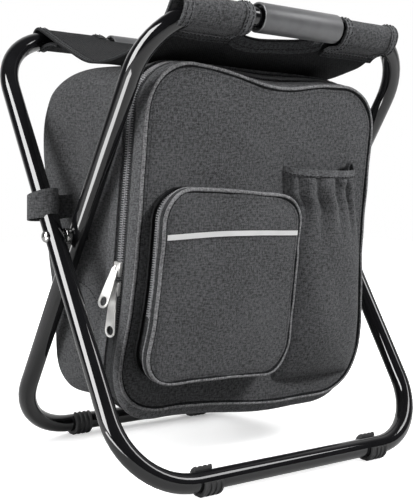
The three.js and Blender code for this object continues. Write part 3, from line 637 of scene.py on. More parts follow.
def hard_finish(groups, name, tone, rough, metal, coat, scale, depth, spread):
    """Paint, plastic, rubber or metal: an uneven tone, and a fine skin in the bump."""
    finish, tree, skin = new_finish(name)
    worn = use_group(tree, groups["scuff"], Scale=scale)
    clouds = worn.outputs["Clouds"]
    uneven = tone_between(tree, clouds, shade(tone, 1 - spread / 2), shade(tone, 1 + spread / 2))
    tree.links.new(uneven, skin.inputs["Base Color"])
    handled = ramp(tree, clouds, NOISE_LOW, NOISE_HIGH, rough * 0.8, rough * 1.2)
    tree.links.new(handled, skin.inputs["Roughness"])
    tree.links.new(bump(tree, worn.outputs["Specks"], 0.25, depth), skin.inputs["Normal"])
    gloss = {"Coat Weight": coat, "Coat Roughness": 0.05, "Specular IOR Level": 0.5 * (1 - coat)}
    set_inputs(skin, {"Metallic": metal, **gloss})
    return finish


# Each cloth's name, its colour and shade, and the thread and depth of its weave in metres
CLOTHS = {
    "canvas": ("charcoal canvas", "canvas", 1, 0.0013, 0.0004),
    "canvas_dark": ("dark canvas", "canvas_dark", 1, 0.0013, 0.0004),
    # The seat cloth behind the sleeves: the dark canvas shaded further, as painted shade
    "sling": ("seat cloth", "canvas_dark", 0.42, 0.0013, 0.0004),
    "webbing": ("black webbing", "canvas_dark", 1, 0.0018, 0.0006),
    "piping": ("grey piping", "piping", 1, 0.0007, 0.0004),
    "facing": ("facing tape", "canvas", 1.35, 0.001, 0.0004),
    # A near-black cloth for painted shadow: the rings in the pipings' folds and the pocket's base
    "shadow": ("gusset cloth", "canvas_dark", 0.4, 0.0013, 0.0004),
    "zip_tape": ("zip tape", "canvas_dark", 1, 0.0006, 0.0004),
    "thread": ("sewing thread", "piping", 1, 0.0004, 0.0004),
}
# Each hard finish's name, colour and shade, roughness, metal, coat, wear scale, bump depth and spread of tone
HARD_FINISHES = {
    "strip": ("reflective strip", "strip", 1, 0.5, 0, 0, 50, 0.0001, 0.12),
    "lining": ("foil lining", "lining", 1, 0.4, 0.1, 0, 18, 0.00006, 0.16),
    "paint": ("gloss black paint", "paint", 1, 0.12, 0, 1, 40, 0.00001, 0.3),
    "steel": ("bright steel", "nickel", 0.42, 0.24, 1, 0, 120, 0.00005, 0.3),
    "nickel": ("nickel plate", "nickel", 1, 0.45, 0.3, 0, 120, 0.00005, 0.3),
    "teeth": ("zip teeth", "teeth", 1, 0.45, 0, 0, 200, 0.00005, 0.3),
    "grip": ("satin plastic", "grip", 1, 0.42, 0.25, 0, 60, 0.00006, 0.3),
    "buckle": ("black plastic", "rubber", 1, 0.4, 0, 0, 60, 0.0001, 0.3),
    "rubber": ("black rubber", "rubber", 1, 0.62, 0, 0, 80, 0.0002, 0.5),
}


class STOOL_OT_finishes(bpy.types.Operator):
    """Make the stool's finishes"""

    bl_idname = "stool.finishes"
    bl_label = "Finishes"

    def execute(self, context):
        tones = context.scene.stool_colours
        groups = {"weave": weave_group(), "scuff": scuff_group()}
        for make, table in ((cloth_finish, CLOTHS), (hard_finish, HARD_FINISHES)):
            for key, (name, tone, by, *values) in table.items():
                FINISHES[key] = make(groups, name, shade(getattr(tones, tone), by), *values)
        return {"FINISHED"}


# Hoops, feet, grips and pivots

BEND_STEPS = 14
TUBE_SIDES = 40
HOOP_BUTT = 0.2


class STOOL_OT_hoops(bpy.types.Operator):
    """Bend the two hoops out of round tube"""

    bl_idname = "stool.hoops"
    bl_label = "Hoops"

    def bend(self, x, z):
        bpy.ops.mesh.spin(
            steps=BEND_STEPS, angle=-math.pi / 2, center=(x * MM, 0, z * MM), axis=(0, 1, 0)
        )

    def run_on(self, x, z):
        bpy.ops.mesh.extrude_region_move(TRANSFORM_OT_translate={"value": (x * MM, 0, z * MM)})

    def hoop(self, name, half):
        turn, up, down = size("bend_r"), size("leg_up"), size("leg_down")
        butt, side = HOOP_BUTT, half - turn
        clear_selection()
        bpy.ops.mesh.primitive_circle_add(
            vertices=TUBE_SIDES,
            radius=size("tube_d") / 2 * MM,
            location=(butt * MM, 0, up * MM),
            rotation=(0, math.pi / 2, 0),
        )
        piece = named(name)
        bpy.ops.object.transform_apply(location=True, rotation=True)
        bpy.ops.object.mode_set(mode="EDIT")
        bpy.ops.mesh.select_mode(type="VERT")
        bpy.ops.mesh.select_all(action="SELECT")
        self.run_on(side - butt, 0)
        self.bend(side, up - turn)
        self.run_on(0, 2 * turn - up - down)
        self.bend(side, turn - down)
        self.run_on(-2 * side, 0)
        self.bend(-side, turn - down)
        self.run_on(0, up + down - 2 * turn)
        self.bend(-side, up - turn)
        self.run_on(side - butt, 0)
        bpy.ops.mesh.select_all(action="SELECT")
        bpy.ops.mesh.fill_holes(sides=0)
        bpy.ops.object.mode_set(mode="OBJECT")
        sew_shut(piece, 1e-6)
        return piece

    def execute(self, context):
        for name, tilt in (("outer", -SPREAD), ("inner", SPREAD)):
            piece = self.hoop("hoop_tube_" + name, size(name + "_half"))
            lift = Matrix.Translation((0, 0, size("pivot_z") * MM))
            piece.data.transform(lift @ Matrix.Rotation(tilt, 4, "X"))
            smooth_faces(piece, 50)
            give(piece, "paint", name + "_frame", [name + "_hoop"])
        return {"FINISHED"}


FOOT_RIB = 2.6
FOOT_RIBS = 4
FOOT_BORE = 9.3
FOOT_R = 12.5
FOOT_RIB_RISE = 1.0
FOOT_OPEN = math.radians(104)
FOOT_OPEN_AT = math.radians(62)
FOOT_STAND = 13.0
FOOT_SLACK = 0.01


class STOOL_OT_feet(bpy.types.Operator):
    """Turn the four ribbed clips under the bottom bars"""

    bl_idname = "stool.feet"
    bl_label = "Feet"

    def section(self):
        """Half of a cut through the clip: its wall with the ribs on it, beside the bar."""
        long = size("foot_length")
        pitch = (long - FOOT_RIB) / (FOOT_RIBS - 1)
        stops = [start * pitch + step for start in range(FOOT_RIBS) for step in (0, FOOT_RIB)]
        clear_selection()
        bpy.ops.mesh.primitive_grid_add(x_subdivisions=len(stops) - 1, y_subdivisions=1, size=2)
        piece = named("unit")
        grid = points_of(piece)
        order = np.rint((grid[:, 0] + 1) / 2 * (len(stops) - 1)).astype(int)
        wall = np.where(grid[:, 1] > 0, FOOT_R, FOOT_BORE)
        flat = np.stack([np.array(stops)[order] - long / 2, wall, 0 * wall], -1)
        set_points(piece, flat * MM)
        bpy.ops.object.mode_set(mode="EDIT")
        starts = [start * pitch - long / 2 for start in range(FOOT_RIBS)]
        for start in starts:
            low, high = (start - FOOT_SLACK) * MM, (start + FOOT_RIB + FOOT_SLACK) * MM
            pick_edges(piece, lambda spot: spot.y > (FOOT_R - FOOT_SLACK) * MM and low < spot.x < high)
            bpy.ops.mesh.extrude_region_move(
                TRANSFORM_OT_translate={"value": (0, FOOT_RIB_RISE * MM, 0)}
            )
        bpy.ops.object.mode_set(mode="OBJECT")
        return piece

    def clip(self, name, away):
        piece = self.section()
        first = (FOOT_OPEN_AT if away > 0 else math.pi - FOOT_OPEN_AT) + FOOT_OPEN / 2
        piece.data.transform(Matrix.Rotation(first, 4, "X"))
        in_edit_mode(
            piece,
            lambda: bpy.ops.mesh.spin(
                steps=36, angle=FOOT_OPEN - 2 * math.pi, center=(0, 0, 0), axis=(1, 0, 0)
            ),
            lambda: bpy.ops.mesh.remove_doubles(threshold=1e-6),
            lambda: bpy.ops.mesh.bisect(
                plane_co=(0, 0, -FOOT_STAND * MM), plane_no=(0, 0, -1), clear_outer=True, use_fill=True
            ),
            lambda: bpy.ops.mesh.normals_make_consistent(inside=False),
        )
        round_edges(piece, 0.45, 2, 38)
        piece.name = piece.data.name = name
        return piece

    def execute(self, context):
        for name, back in (("outer", 1), ("inner", -1)):
            for hand, side in SIDES.items():
                low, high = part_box(f"{name}_foot_{hand}")
                piece = self.clip(f"clip_{name}_{hand}", -back)
                end = high.x if side > 0 else low.x
                bar_y = -back * size("leg_down") * math.sin(SPREAD)
                middle = Vector((end - side * size("foot_length") / 2 * MM, bar_y * MM, FOOT_STAND * MM))
                piece.data.transform(Matrix.Translation(middle))
                smooth_faces(piece, 35)
                give(piece, "rubber", name + "_frame", [f"{name}_foot_{hand}"])
        return {"FINISHED"}


def sleeve_of(name, long, radius, bore, mouth, deep, edge, sides=64):
    """A turned tube along x: a cylinder whose ends are inset, hollowed and bridged."""
    clear_selection()
    bpy.ops.mesh.primitive_cylinder_add(
        vertices=sides, radius=radius * MM, depth=long * MM, rotation=(0, math.pi / 2, 0)
    )
    piece = named(name)
    bpy.ops.object.transform_apply(location=True, rotation=True)
    bpy.ops.object.mode_set(mode="EDIT")
    for end in (-1, 1):
        pick_faces(piece, lambda middle, normal: normal.x * end > 0.9)
        bpy.ops.mesh.inset(thickness=(radius - mouth) * MM, depth=0)
        if deep:
            bpy.ops.mesh.extrude_region_move(TRANSFORM_OT_translate={"value": (-end * deep * MM, 0, 0)})
            bpy.ops.mesh.inset(thickness=(mouth - bore) * MM, depth=0)
        bpy.ops.mesh.delete(type="ONLY_FACE")
    pick_edges(piece, lambda spot: math.hypot(spot.y, spot.z) < (bore + 0.05) * MM)
    bpy.ops.mesh.bridge_edge_loops()
    bpy.ops.object.mode_set(mode="OBJECT")
    sew_shut(piece, 1e-6)
    round_edges(piece, edge, 3, 40)
    smooth_faces(piece, 35)
    return piece


GRIP_BORE = 9.3
GRIP_MOUTH = 11.25
GRIP_SUNK = 5.0
GRIP_EDGE = 1.1


class STOOL_OT_grips(bpy.types.Operator):
    """Turn the two hand grips on the top bars"""

    bl_idname = "stool.grips"
    bl_label = "Grips"

    def execute(self, context):
        ends = (GRIP_BORE, GRIP_MOUTH, GRIP_SUNK, GRIP_EDGE)
        for name, back in (("front", -1), ("rear", 1)):
            piece = sleeve_of(f"hand_grip_{name}", size("grip_length"), size("grip_d") / 2, *ends)
            y = back * size("leg_up") * math.sin(SPREAD)
            z = size("pivot_z") + size("leg_up") * math.cos(SPREAD)
            piece.data.transform(Matrix.Translation((0, y * MM, z * MM)))
            give(piece, "grip", name + "_grip", [name + "_grip"])
        return {"FINISHED"}


RIVET_HEAD = (5.75, 3.6)
RIVET_TAIL = (4.9, 2.3)
RIVET_SUNK = 0.1
SPACER_R = 7.5
SPACER_BORE = 3.3


class STOOL_OT_pivots(bpy.types.Operator):
    """Make the rivets at the crossing of the legs, and the spacers between them"""

    bl_idname = "stool.pivots"
    bl_label = "Pivots"

    def dome(self, name, x, side, radius, rise):
        """A rivet's head: the outer half of a ball, flattened and closed with a rim."""
        clear_selection()
        bpy.ops.mesh.primitive_uv_sphere_add(segments=40, ring_count=24, radius=radius * MM)
        piece = named(name)
        in_edit_mode(
            piece,
            lambda: bpy.ops.transform.rotate(value=math.pi / 2, orient_axis="Y", center_override=(0, 0, 0)),
            lambda: bpy.ops.mesh.bisect(
                plane_co=(0, 0, 0), plane_no=(-side, 0, 0), clear_outer=True, use_fill=True
            ),
            lambda: bpy.ops.mesh.normals_make_consistent(inside=False),
        )
        piece.data.transform(Matrix.Diagonal((rise / radius, 1, 1, 1)))
        round_edges(piece, 0.3, 2, 50)
        piece.data.transform(Matrix.Translation((x * MM, 0, size("pivot_z") * MM)))
        smooth_faces(piece, 45)
        return piece

    def execute(self, context):
        tube = size("tube_d") / 2 - RIVET_SUNK
        for hand, side in SIDES.items():
            head = self.dome("rivet_head_" + hand, side * (size("outer_half") + tube), side, *RIVET_HEAD)
            tail = self.dome("rivet_tail_" + hand, side * (size("inner_half") - tube), -side, *RIVET_TAIL)
            give(tail, "steel", "outer_frame")
            give(head, "steel", "outer_frame", ["pivot_rivet_" + hand])
            low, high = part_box("pivot_spacer_" + hand)
            bore = (SPACER_R, SPACER_BORE, SPACER_BORE, 0, 0.5, 40)
            ring = sleeve_of("spacer_" + hand, (high.x - low.x) / MM, *bore)
            middle = ((low.x + high.x) / 2, 0, size("pivot_z") * MM)
            ring.data.transform(Matrix.Translation(middle))
            give(ring, "steel", "outer_frame", ["pivot_spacer_" + hand])
        return {"FINISHED"}


# Seat

SLEEVE_R = 10.4
FRONT_DROP = 6.0
SLING_END = 107.43
SLING_LOW = 383.8
FINGER_GAPS = (11.0, 4.0)
LEFT_SLEEVES = (-135.0, -59.0)
RIGHT_SLEEVES = (54.0, 125.0)
# Shares of the cloth's width at the sleeves' inner ends, and of its run at the seams
SLEEVE_ENDS = (2 / 7, 5 / 7)
SEAM_SHARES = (0.35, 0.65)
HEM_BAND = 9 / 74 * 2 / 7
LAP_BAND = 0.045
HEM_EDGE = 0.004
# Heights off the cloth, in its thicknesses
HEM_LIFT = 0.95
HEM_STITCH_LIFT = 1.5
# Behind this depth the seat and its hems take a darker cloth: painted shade over the seat's rear
SEAT_PAINTED_SHADE_FROM = -0.104


class SeatCloth:
    """The seat's cut through y and z, run by share from the front under-lap to the rear one."""

    def __init__(self):
        front, rear = self.front_half(), self.rear_half() * [-1, 1]
        self.line = np.concatenate([front, rear[::-1][1:]])
        soften(self.line, 2)
        self.run = run_of(self.line)
        self.run_length = self.run[-1]
        self.run /= self.run_length
        self.seams = (self.run[self.seam_at], self.run[-1 - self.seam_at])

    def bar(self):
        up = size("leg_up")
        return np.array([-up * math.sin(SPREAD), size("pivot_z") + up * math.cos(SPREAD)])

    def rear_half(self):
        """The rear end, turned to face the front: it hugs its bar and leaves it at the top."""
        bar = self.bar()
        lean = math.degrees(SPREAD)
        lap = [[-82, 408.2], [-86, 410.1], [-91, 411.8], [-98, 412.4], [-107, 411.4]]
        loop = [lap, self.round_bar(bar, -62, lean - 180, 8), self.round_bar(bar, lean + 180, 63.4, 16)[1:]]
        sling = [[y, SLING_LOW + math.hypot(0.5 * y, 18) - 18] for y in np.linspace(-84, 0, 22)]
        fall = [[-110, 424.2], [-105, 421.7], [-99, 418.7], [-93, 415.7], [-88.5, 413.5]]
        return np.concatenate([*loop, fall, sling])

    def front_half(self):
        bar = self.bar()
        down = np.array([math.sin(SPREAD), -math.cos(SPREAD)])
        inner = np.array([math.cos(SPREAD), math.sin(SPREAD)])
        low = bar + FRONT_DROP * down
        lean = math.degrees(SPREAD)
        lap = [[-96.5, 398.4], [-98, 399.6], [-100, 401.0], [-102, 402.3], [-105, 403.4]]
        loop = [lap, self.round_bar(low, -58, lean - 180, 8), self.round_bar(bar, lean + 180, lean, 16)[1:]]
        loop = np.concatenate(loop)
        self.seam_at = len(loop)
        seam = low + SLEEVE_R * inner
        fall = [seam + 4 * down, [-101.0, 406.2], [-96.5, 401.6], [-91.0, 398.0]]
        sling = [[y, self.sling(y)] for y in np.linspace(-84, 0, 22)]
        return np.concatenate([loop, [seam], fall, sling])

    def round_bar(self, middle, first, last, steps):
        turns = np.radians(np.linspace(first, last, steps))
        return middle + SLEEVE_R * np.stack([np.cos(turns), np.sin(turns)], -1)

    def sling(self, y):
        return SLING_LOW + size("seat_sag") * (y / SLING_END) ** 2

    def at(self, share):
        return read_off(share, self.run, self.line)

    def edge(self, end, reach):
        """The share of the sling's edge, a reach past the front seam or short of the rear one."""
        first, last = self.seams
        past = (self.run >= first) & (self.run <= last)
        spot = self.at(self.seams[end])[0] + (reach if end == 0 else -reach)
        return np.interp(spot, self.line[past, 0], self.run[past])


class STOOL_OT_seat(bpy.types.Operator):
    """Sew the seat: a sling whose ends loop round the top bars, with hems and stitches"""

    bl_idname = "stool.seat"
    bl_label = "Seat"

    def execute(self, context):
        cut = SeatCloth()
        first, last = cut.seams
        thick = size("cloth")
        marks = [*LEFT_SLEEVES, *RIGHT_SLEEVES]
        gap = marks[2] - marks[1]
        left_end, right_end = SLEEVE_ENDS
        front_seam, rear_seam = SEAM_SHARES

        def surface(across, along):
            x = np.interp(across, [0, left_end, right_end, 1], marks)
            share = np.interp(along, [0, front_seam, rear_seam, 1], [0, first, last, 1])
            gap_share = np.clip((x - marks[1]) / gap, 0, 1)
            reach = np.sqrt(np.maximum(np.sin(np.pi * gap_share**0.6), 0))
            front, rear = (cut.edge(end, FINGER_GAPS[end] * reach) for end in (0, 1))
            inside = (gap_share > 1e-6) & (gap_share < 1 - 1e-6)
            spread = (share - first) / (last - first)
            share = np.where(inside, front + spread * (rear - front), share)
            y, z = cut.at(share)
            loose = smooth(70, 20, np.abs(y)) * (1 - 0.6 * (x / 130) ** 2)
            z = z + 0.8 * ripple(x, y, 70, 4) * smooth(112, 96, np.abs(y)) - 1.2 * loose
            y = y + 0.6 * ripple(x, z, 34, 9) * smooth(100, 118, np.abs(y))
            return np.stack([x, y, z], -1)

        def keep(across, along):
            return not left_end < across < right_end or front_seam < along < rear_seam

        seat = cloth_panel("seat_cloth", 84, 140, surface, thick, LEVEL, keep)
        hems, rows = [], []
        line = np.linspace(0, 1, 90)

        def hem(across, along, upright, columns, count, side=1, places=(0.25, 0.8)):
            """A strip on the cloth between two shares each way, with its rows of stitches."""
            def shares(a, b):
                over, up = (a, b) if upright else (b, a)
                over = np.clip(across[0] + (across[1] - across[0]) * over, 1e-4, 1 - 1e-4)
                return over, along[0] + (along[1] - along[0]) * up

            def strip(a, b):
                return lifted(surface, *shares(a, b), side * HEM_LIFT * thick)[0]

            hems.append(cloth_panel(f"hem_{len(hems)}", columns, count, strip, 1.0, LEVEL))
            for place in places:
                row = shares(np.full(90, place), line)
                rows.append(lifted(surface, *row, side * HEM_STITCH_LIFT * thick))

        for begin, band in ((0.0, HEM_BAND), (left_end, -HEM_BAND), (right_end, HEM_BAND), (1.0, -HEM_BAND)):
            stops = (0.5, 0.5) if begin in (0.0, 1.0) else SEAM_SHARES
            for start, stop in zip((0.0, 1.0), stops):
                hem((begin, begin + band), (start, stop), True, 4, 60)
        for lap in ((0.0, LAP_BAND), (1.0, 1 - LAP_BAND)):
            for ends in ((HEM_EDGE, left_end), (right_end, 1 - HEM_EDGE)):
                hem(ends, lap, False, 3, 30)
        for edge in ((0.352, 0.372), (0.648, 0.628)):
            hem((left_end + HEM_EDGE, right_end - HEM_EDGE), edge, False, 3, 60, -1, (0.6,))
        make_active(hems[0])
        for piece in hems:
            piece.select_set(True)
        bpy.ops.object.join()
        edges = named("seat_hems")
        thread = stitches("seat_stitches", rows, LEVEL)
        ends = {"start": (0, SLING_END * MM, 0.4), "end": (0, -SLING_END * MM, 0.4)}
        replaced = ["seat_sling", *(f"{end}_sleeve_{hand}" for end in ("front", "rear") for hand in SIDES)]
        give(seat, "canvas", replaced=replaced)
        give(edges, "facing")
        # Faces behind the sleeves take the darker finish: painted shade over the seat's rear and its hems
        for piece, dark in ((seat, "sling"), (edges, "canvas_dark")):
            piece.data.materials.append(FINISHES[dark])
            behind = [face.center.y > SEAT_PAINTED_SHADE_FROM for face in piece.data.polygons]
            piece.data.polygons.foreach_set("material_index", np.array(behind, dtype=np.int32))
        give(thread, "canvas_dark")
        for piece in (seat, edges, thread):
            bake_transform(piece)
        return {"FINISHED"}


# Bag

RIM = 9.0
FOAM = 6.0
FACING = 12.5
BACK_EDGE_R = 15.0
SIDE_FULL = 7.0
SIDE_CREASE = 5.5
CUT_POINTS = 220
# How far back the top and the foot run level behind the rim
LEVEL_FRONT = 13.3
# Shares of half the cloth: flat on the back, then round the back's edge, then over the side
BACK_SHARE, EDGE_SHARE, SIDE_FROM = 0.3, 0.2, 0.5
SEAM_POINTS = 60
# The seam over each side of the bag, in y and z
SIDE_SEAM = np.array([[9, 84], [19, 86], [33, 90], [43, 97], [52, 100], [67, 101], [95, 99], [112, 98]])


class BagCut:
    """The bag's side view, from the front of its foot round the back to the front of its top."""

    def __init__(self, inset):
        def curve(first, pull, last, steps=14):
            t = np.linspace(0, 1, steps)[:, None]
            a, b, c = np.array(first), np.array(pull), np.array(last)
            return (1 - t) ** 2 * a + 2 * t * (1 - t) * b + t**2 * c

        high = size("bag_height")

        def top(y):
            return high - max(y - LEVEL_FRONT, 0) * math.tan(LEAN)

        line = np.concatenate(
            [
                np.linspace((RIM, 0), (LEVEL_FRONT, 0), 2),
                np.linspace((16, -0.5), (72, -6), 8),
                curve((76, -6), (110, -6), (116, 28)),
                np.linspace((118, 38), (149, 206), 16),
                curve((150, top(150) - 86), (150, top(150)), (87, top(87))),
                np.linspace((80, top(80)), (LEVEL_FRONT, high), 8),
                [(RIM, high)],
            ]
        )
        run = run_of(line)
        line = np.stack(read_off(np.linspace(0, run[-1], CUT_POINTS), run, line), -1)
        soften(line, 3)
        ahead = np.gradient(line, axis=0)
        ahead[0], ahead[-1] = (1, 0), (-1, 0)
        ahead = direction(ahead)
        self.inward = np.stack([-ahead[:, 1], ahead[:, 0]], -1)
        self.line = line + inset * self.inward
        self.line[:, 0] = np.maximum(self.line[:, 0], RIM)
        self.share = np.linspace(0, 1, CUT_POINTS)
        self.half = size("bag_half") - inset
        self.inset = inset

    def at(self, along):
        """A point of the cut, and the way into the bag."""
        return (*read_off(along, self.share, self.line), *read_off(along, self.share, self.inward))

    def surface(self, across, along):
        """Across runs from the left front edge over the side, the back and the other side."""
        y, z, in_y, in_z = self.at(along)
        corner = size("corner_r")
        side = np.where(across < 0.5, -1, 1)
        off = np.abs(across - 0.5) * 2
        round_r = BACK_EDGE_R + (corner - BACK_EDGE_R) * (1 - smooth(RIM, 80, y)) - self.inset
        strip = np.clip(off / BACK_SHARE, 0, 1)
        turn = np.clip((off - BACK_SHARE) / EDGE_SHARE, 0, 1) * np.pi / 2
        fan = np.clip((off - SIDE_FROM) / (1 - SIDE_FROM), 0, 1)
        x = (self.half - round_r) * strip + round_r * np.sin(turn)
        y = y + in_y * round_r * (1 - np.cos(turn))
        z = z + in_z * round_r * (1 - np.cos(turn))
        front_z = corner + (size("bag_height") - 2 * corner) * along
        y, z = y + (RIM - y) * fan, z + (front_z - z) * fan
        on_side = smooth(0.35, 0.6, off)
        bulge = np.sin(np.pi * np.clip((y - RIM) / 110, 0, 1)) * np.sin(np.pi * np.clip(z / 300, 0, 1))
        swell = (1.5 * bulge + 2.2 * ripple(y, z, 70, 21) * bulge) * on_side
        crease = hump(z - 0.85 * (y - 78), 215, 15) * smooth(45, 75, y) * (1 - smooth(98, 122, y))
        swell = swell - SIDE_CREASE * crease * np.where(side < 0, 1, 0.4) * on_side
        full = smooth(30, 110, y) * smooth(50, 140, z) * (1 - smooth(270, 312, z))
        full = (SIDE_FULL + 5 * smooth(190, 255, z)) * full * (x / self.half) ** 4
        return drape(side * (x + swell + full), y, z)


class STOOL_OT_bag(bpy.types.Operator):
    """Sew the bag's body: shell, zip facing with its stitches, and the padded lining"""

    bl_idname = "stool.bag"
    bl_label = "Bag"

    def side_seam(self, shell, side):
        """A seam over one side, laid on the shell's own points."""
        back = np.array(IN_BAG.inverted())
        skin = points_of(shell) @ back[:3, :3].T + back[:3, 3]
        y = np.linspace(SIDE_SEAM[0, 0], SIDE_SEAM[-1, 0], SEAM_POINTS)
        x = np.full(SEAM_POINTS, side * size("bag_half"))
        path = drape(x, y, np.interp(y, *SIDE_SEAM.T))
        near = skin[skin[:, 0] * side > 100]
        gap = np.hypot(near[:, 1] - path[:, 1:2], near[:, 2] - path[:, 2:])
        nearest = np.argsort(gap, axis=1)[:, :6]
        path[:, 0] = side * (np.abs(near[nearest, 0]).max(axis=1) + 0.2)
        return path, np.tile([side, 0.0, 0.0], (SEAM_POINTS, 1))

    def execute(self, context):
        shell = cloth_panel("bag_body", 96, 180, BagCut(0.75).surface, size("cloth"))
        give(shell, "canvas", "bag", ["bag_shell"])
        lining = cloth_panel("bag_lining", 72, 120, BagCut(4.8).surface, FOAM)
        give(lining, "lining", "bag", ["bag_insulation", "bag_liner"])
        flap = flap_outline()

        def facing(across, along):
            x, z, _, _ = flap.at(along, -0.55)
            return drape(x, RIM + FACING * across, z)

        band = cloth_panel("zip_facing_body", 5, 240, facing, 1.1)
        give(band, "facing", "bag")
        line = np.linspace(0, 1, 900)
        thread = stitches("bag_stitches", [row_on(facing, place, line, -0.75) for place in (0.2, 0.8)])
        seam = stitches("bag_side_seam", [self.side_seam(shell, side) for side in SIDES.values()])
        for piece in (seam, thread):
            give(piece, "canvas_dark", "bag")
        return {"FINISHED"}


# Flap and zips

PANEL_MARGIN = 0.8
PIPING_IN = 0.6
# Radius of the near-black ring of painted shadow beside each piping
PAINTED_SHADOW_R = 2.3
# How far the flap's face swells, how squarely, and how unevenly
FLAP_FULL, FLAP_SQUARE = 5.5, 0.6
FLAP_WAVES = ((1.8, 130, 5), (0.6, 50, 12))
FLAP_EDGE_WAVES = ((0.4, 9, 1), (0.3, 23, 0))


def hang_at_fold(piece):
    """Bakes a piece of a cover into its place; it is not bent at the fold."""
    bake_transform(piece)


def face_of(outline, y, full, power, waves):
    """The face inside an outline: it swells to its middle, with waves of a height, span and seed each."""
    def face(across, along):
        x, z = outline.spot(across, along, PANEL_MARGIN)
        rise = np.sin(np.pi * across) ** power * np.sin(np.pi * along) ** power
        uneven = sum(high * ripple(x, z, span, seed) for high, span, seed in waves)
        return drape(x, y - 0.2 - full * rise - uneven * rise, z)

    return face


def gusset_of(outline, first, last, swell, tuck=0.0, foot=0.0):
    """A band round an outline between two depths: it swells, and its first edge is tucked in."""
    def gusset(across, along):
        x, z, out_x, out_z = outline.at(along, 0.75 + tuck * (1 - across))
        out = (swell + foot * np.maximum(-out_z, 0) ** 2) * np.sin(np.pi * across)
        return drape(x + out_x * out, first + (last - first) * across, z + out_z * out)

    return gusset


def edge_of(outline, y, inset, waves):
    """The line of a piping round an outline, with waves of a height, count and phase each."""
    def edge(along):
        x, z, out_x, out_z = outline.at(along, inset)
        uneven = sum(high * np.sin(2 * np.pi * count * along + phase) for high, count, phase in waves)
        return drape(x, y + uneven, z), np.stack([out_x, 0 * out_x, out_z], -1)

    return edge


def pipe_edge(cover, edge, steps):
    """A piping, and a near-black ring a little behind it and inside it: painted shadow in the fold in which
    the piping sits.
    """
    def fold(along):
        middle, out = edge(along)
        return middle - out + [0, 1.0, 0], out

    cord = tube_ring(cover + "_edge_piping", edge, size("piping_d") / 2, steps)
    give(cord, "piping", replaced=[cover + "_piping"])
    # A near-black ring of painted shadow in the fold behind the piping
    painted_shadow_and_piping = tube_ring(cover + "_edge_welt", fold, PAINTED_SHADOW_R, steps)
    give(painted_shadow_and_piping, "shadow")
    return cord, painted_shadow_and_piping


class STOOL_OT_flap(bpy.types.Operator):
    """Sew the flap: gusset, padded face, piping, stitches and lining"""

    bl_idname = "stool.flap"
    bl_label = "Flap"

    def execute(self, context):
        thick, deep = size("cloth"), size("flap_depth")
        flap = flap_outline()
        face = face_of(flap, -deep, FLAP_FULL, FLAP_SQUARE, FLAP_WAVES)
        edge = edge_of(flap, -deep - 1.6, PIPING_IN, FLAP_EDGE_WAVES)
        side = cloth_panel("flap_gusset", 6, 240, gusset_of(flap, -RIM, -deep, 1.2, foot=5), thick)
        give(side, "facing")
        panel = cloth_panel("flap_face", 90, 100, face, thick)
        give(panel, "canvas", replaced=["flap_panel"])
        cord, painted_shadow_and_piping = pipe_edge("flap", edge, 320)
        ring = flap.ring(np.linspace(0, 1, 900), 6.5, PANEL_MARGIN)
        thread = stitches("flap_stitches", [lifted(face, *ring, 0.9)])
        give(thread, "thread")

        def pad(across, along):
            x, z = flap.spot(across, along, 4)
            quilt = np.abs(np.sin(np.pi * x / 47) * np.sin(np.pi * z / 47)) ** 0.5
            return drape(x, -deep + 6.4 + 0.8 * quilt, z)

        lining = cloth_panel("flap_lining", 60, 66, pad, 5.5)
        give(lining, "lining", replaced=["flap_insulation", "flap_liner"])
        for piece in (side, panel, cord, painted_shadow_and_piping, thread, lining):
            hang_at_fold(piece)
        return {"FINISHED"}


TAPE_GAP = 0.3
TOOTH_LIFT = 0.9
TOOTH_IN = 1.5
TOOTH_WIDE, TOOTH_HIGH, TOOTH_EDGE = 4.6, 2.4, 0.35
# Where the flap's zip starts above the foot, and how much sooner it ends on the left
ZIP_START = 56.0
ZIP_SHORT = 16.0
POCKET_ZIP = -36.8
POCKET_ZIP_ENDS = (0.2, 0.8)


def zip_half(name, outline, middle, side, reach, inset, ends):
    """One half of a zip: a ring of tape, and the teeth along its free edge between two shares."""
    def tape(across, along):
        x, z, _, _ = outline.at(along, inset)
        return drape(x, middle + side * (TAPE_GAP + (reach - TAPE_GAP) * across), z)

    ring = cloth_panel(name + "_tape", 3, 240, tape, 0.8)
    pitch = size("tooth_pitch")
    line = np.linspace(*ends, 1200)
    edge, up = row_on(tape, 0.0, line, TOOTH_LIFT)
    _, _, out_x, out_z = outline.at(line)
    if (up[:, 0] * out_x + up[:, 2] * out_z).mean() < 0:
        edge, up = row_on(tape, 0.0, line, -TOOTH_LIFT)
    edge[:, 1] += side * TOOTH_IN
    unit = rounded_block(pitch / 2, TOOTH_WIDE, TOOTH_HIGH, TOOTH_EDGE)
    teeth = copies(name + "_teeth", unit, places_along(edge, up, pitch, 0.25 + 0.25 * side), IN_BAG)
    return ring, teeth


class STOOL_OT_zips(bpy.types.Operator):
    """Lay the zips: tape and teeth on both sides of the flap and of the pocket"""

    bl_idname = "stool.zips"
    bl_label = "Zips"

    def execute(self, context):
        flap = flap_outline()
        foot = flap.right - flap.radius + math.pi / 2 * flap.radius + ZIP_START - flap.radius
        ends = (foot / flap.length, 1 - (foot + ZIP_SHORT) / flap.length)
        on_flap = (flap, 12, 1.6, ends, 0)
        on_pocket = (POCKET, 7.5, 5.4, POCKET_ZIP_ENDS, POCKET_ZIP)
        halves = (
            ("flap_zip", on_flap, 1, "bag", "zip_tape_body"),
            ("flap_zip_front", on_flap, -1, "front_flap", "zip_tape_flap"),
            ("pocket_zip", on_pocket, 1, "front_flap", "pocket_zip_base"),
            ("pocket_zip_front", on_pocket, -1, "pocket_flap", "pocket_zip_cover"),
        )
        for name, (outline, reach, inset, shares, middle), side, body, node in halves:
            ring, teeth = zip_half(name, outline, middle, side, reach, inset, shares)
            bends = side < 0
            give(ring, "zip_tape", None if bends else body, [node])
            if bends:
                hang_at_fold(ring)
            give(teeth, "teeth", body)
        return {"FINISHED"}


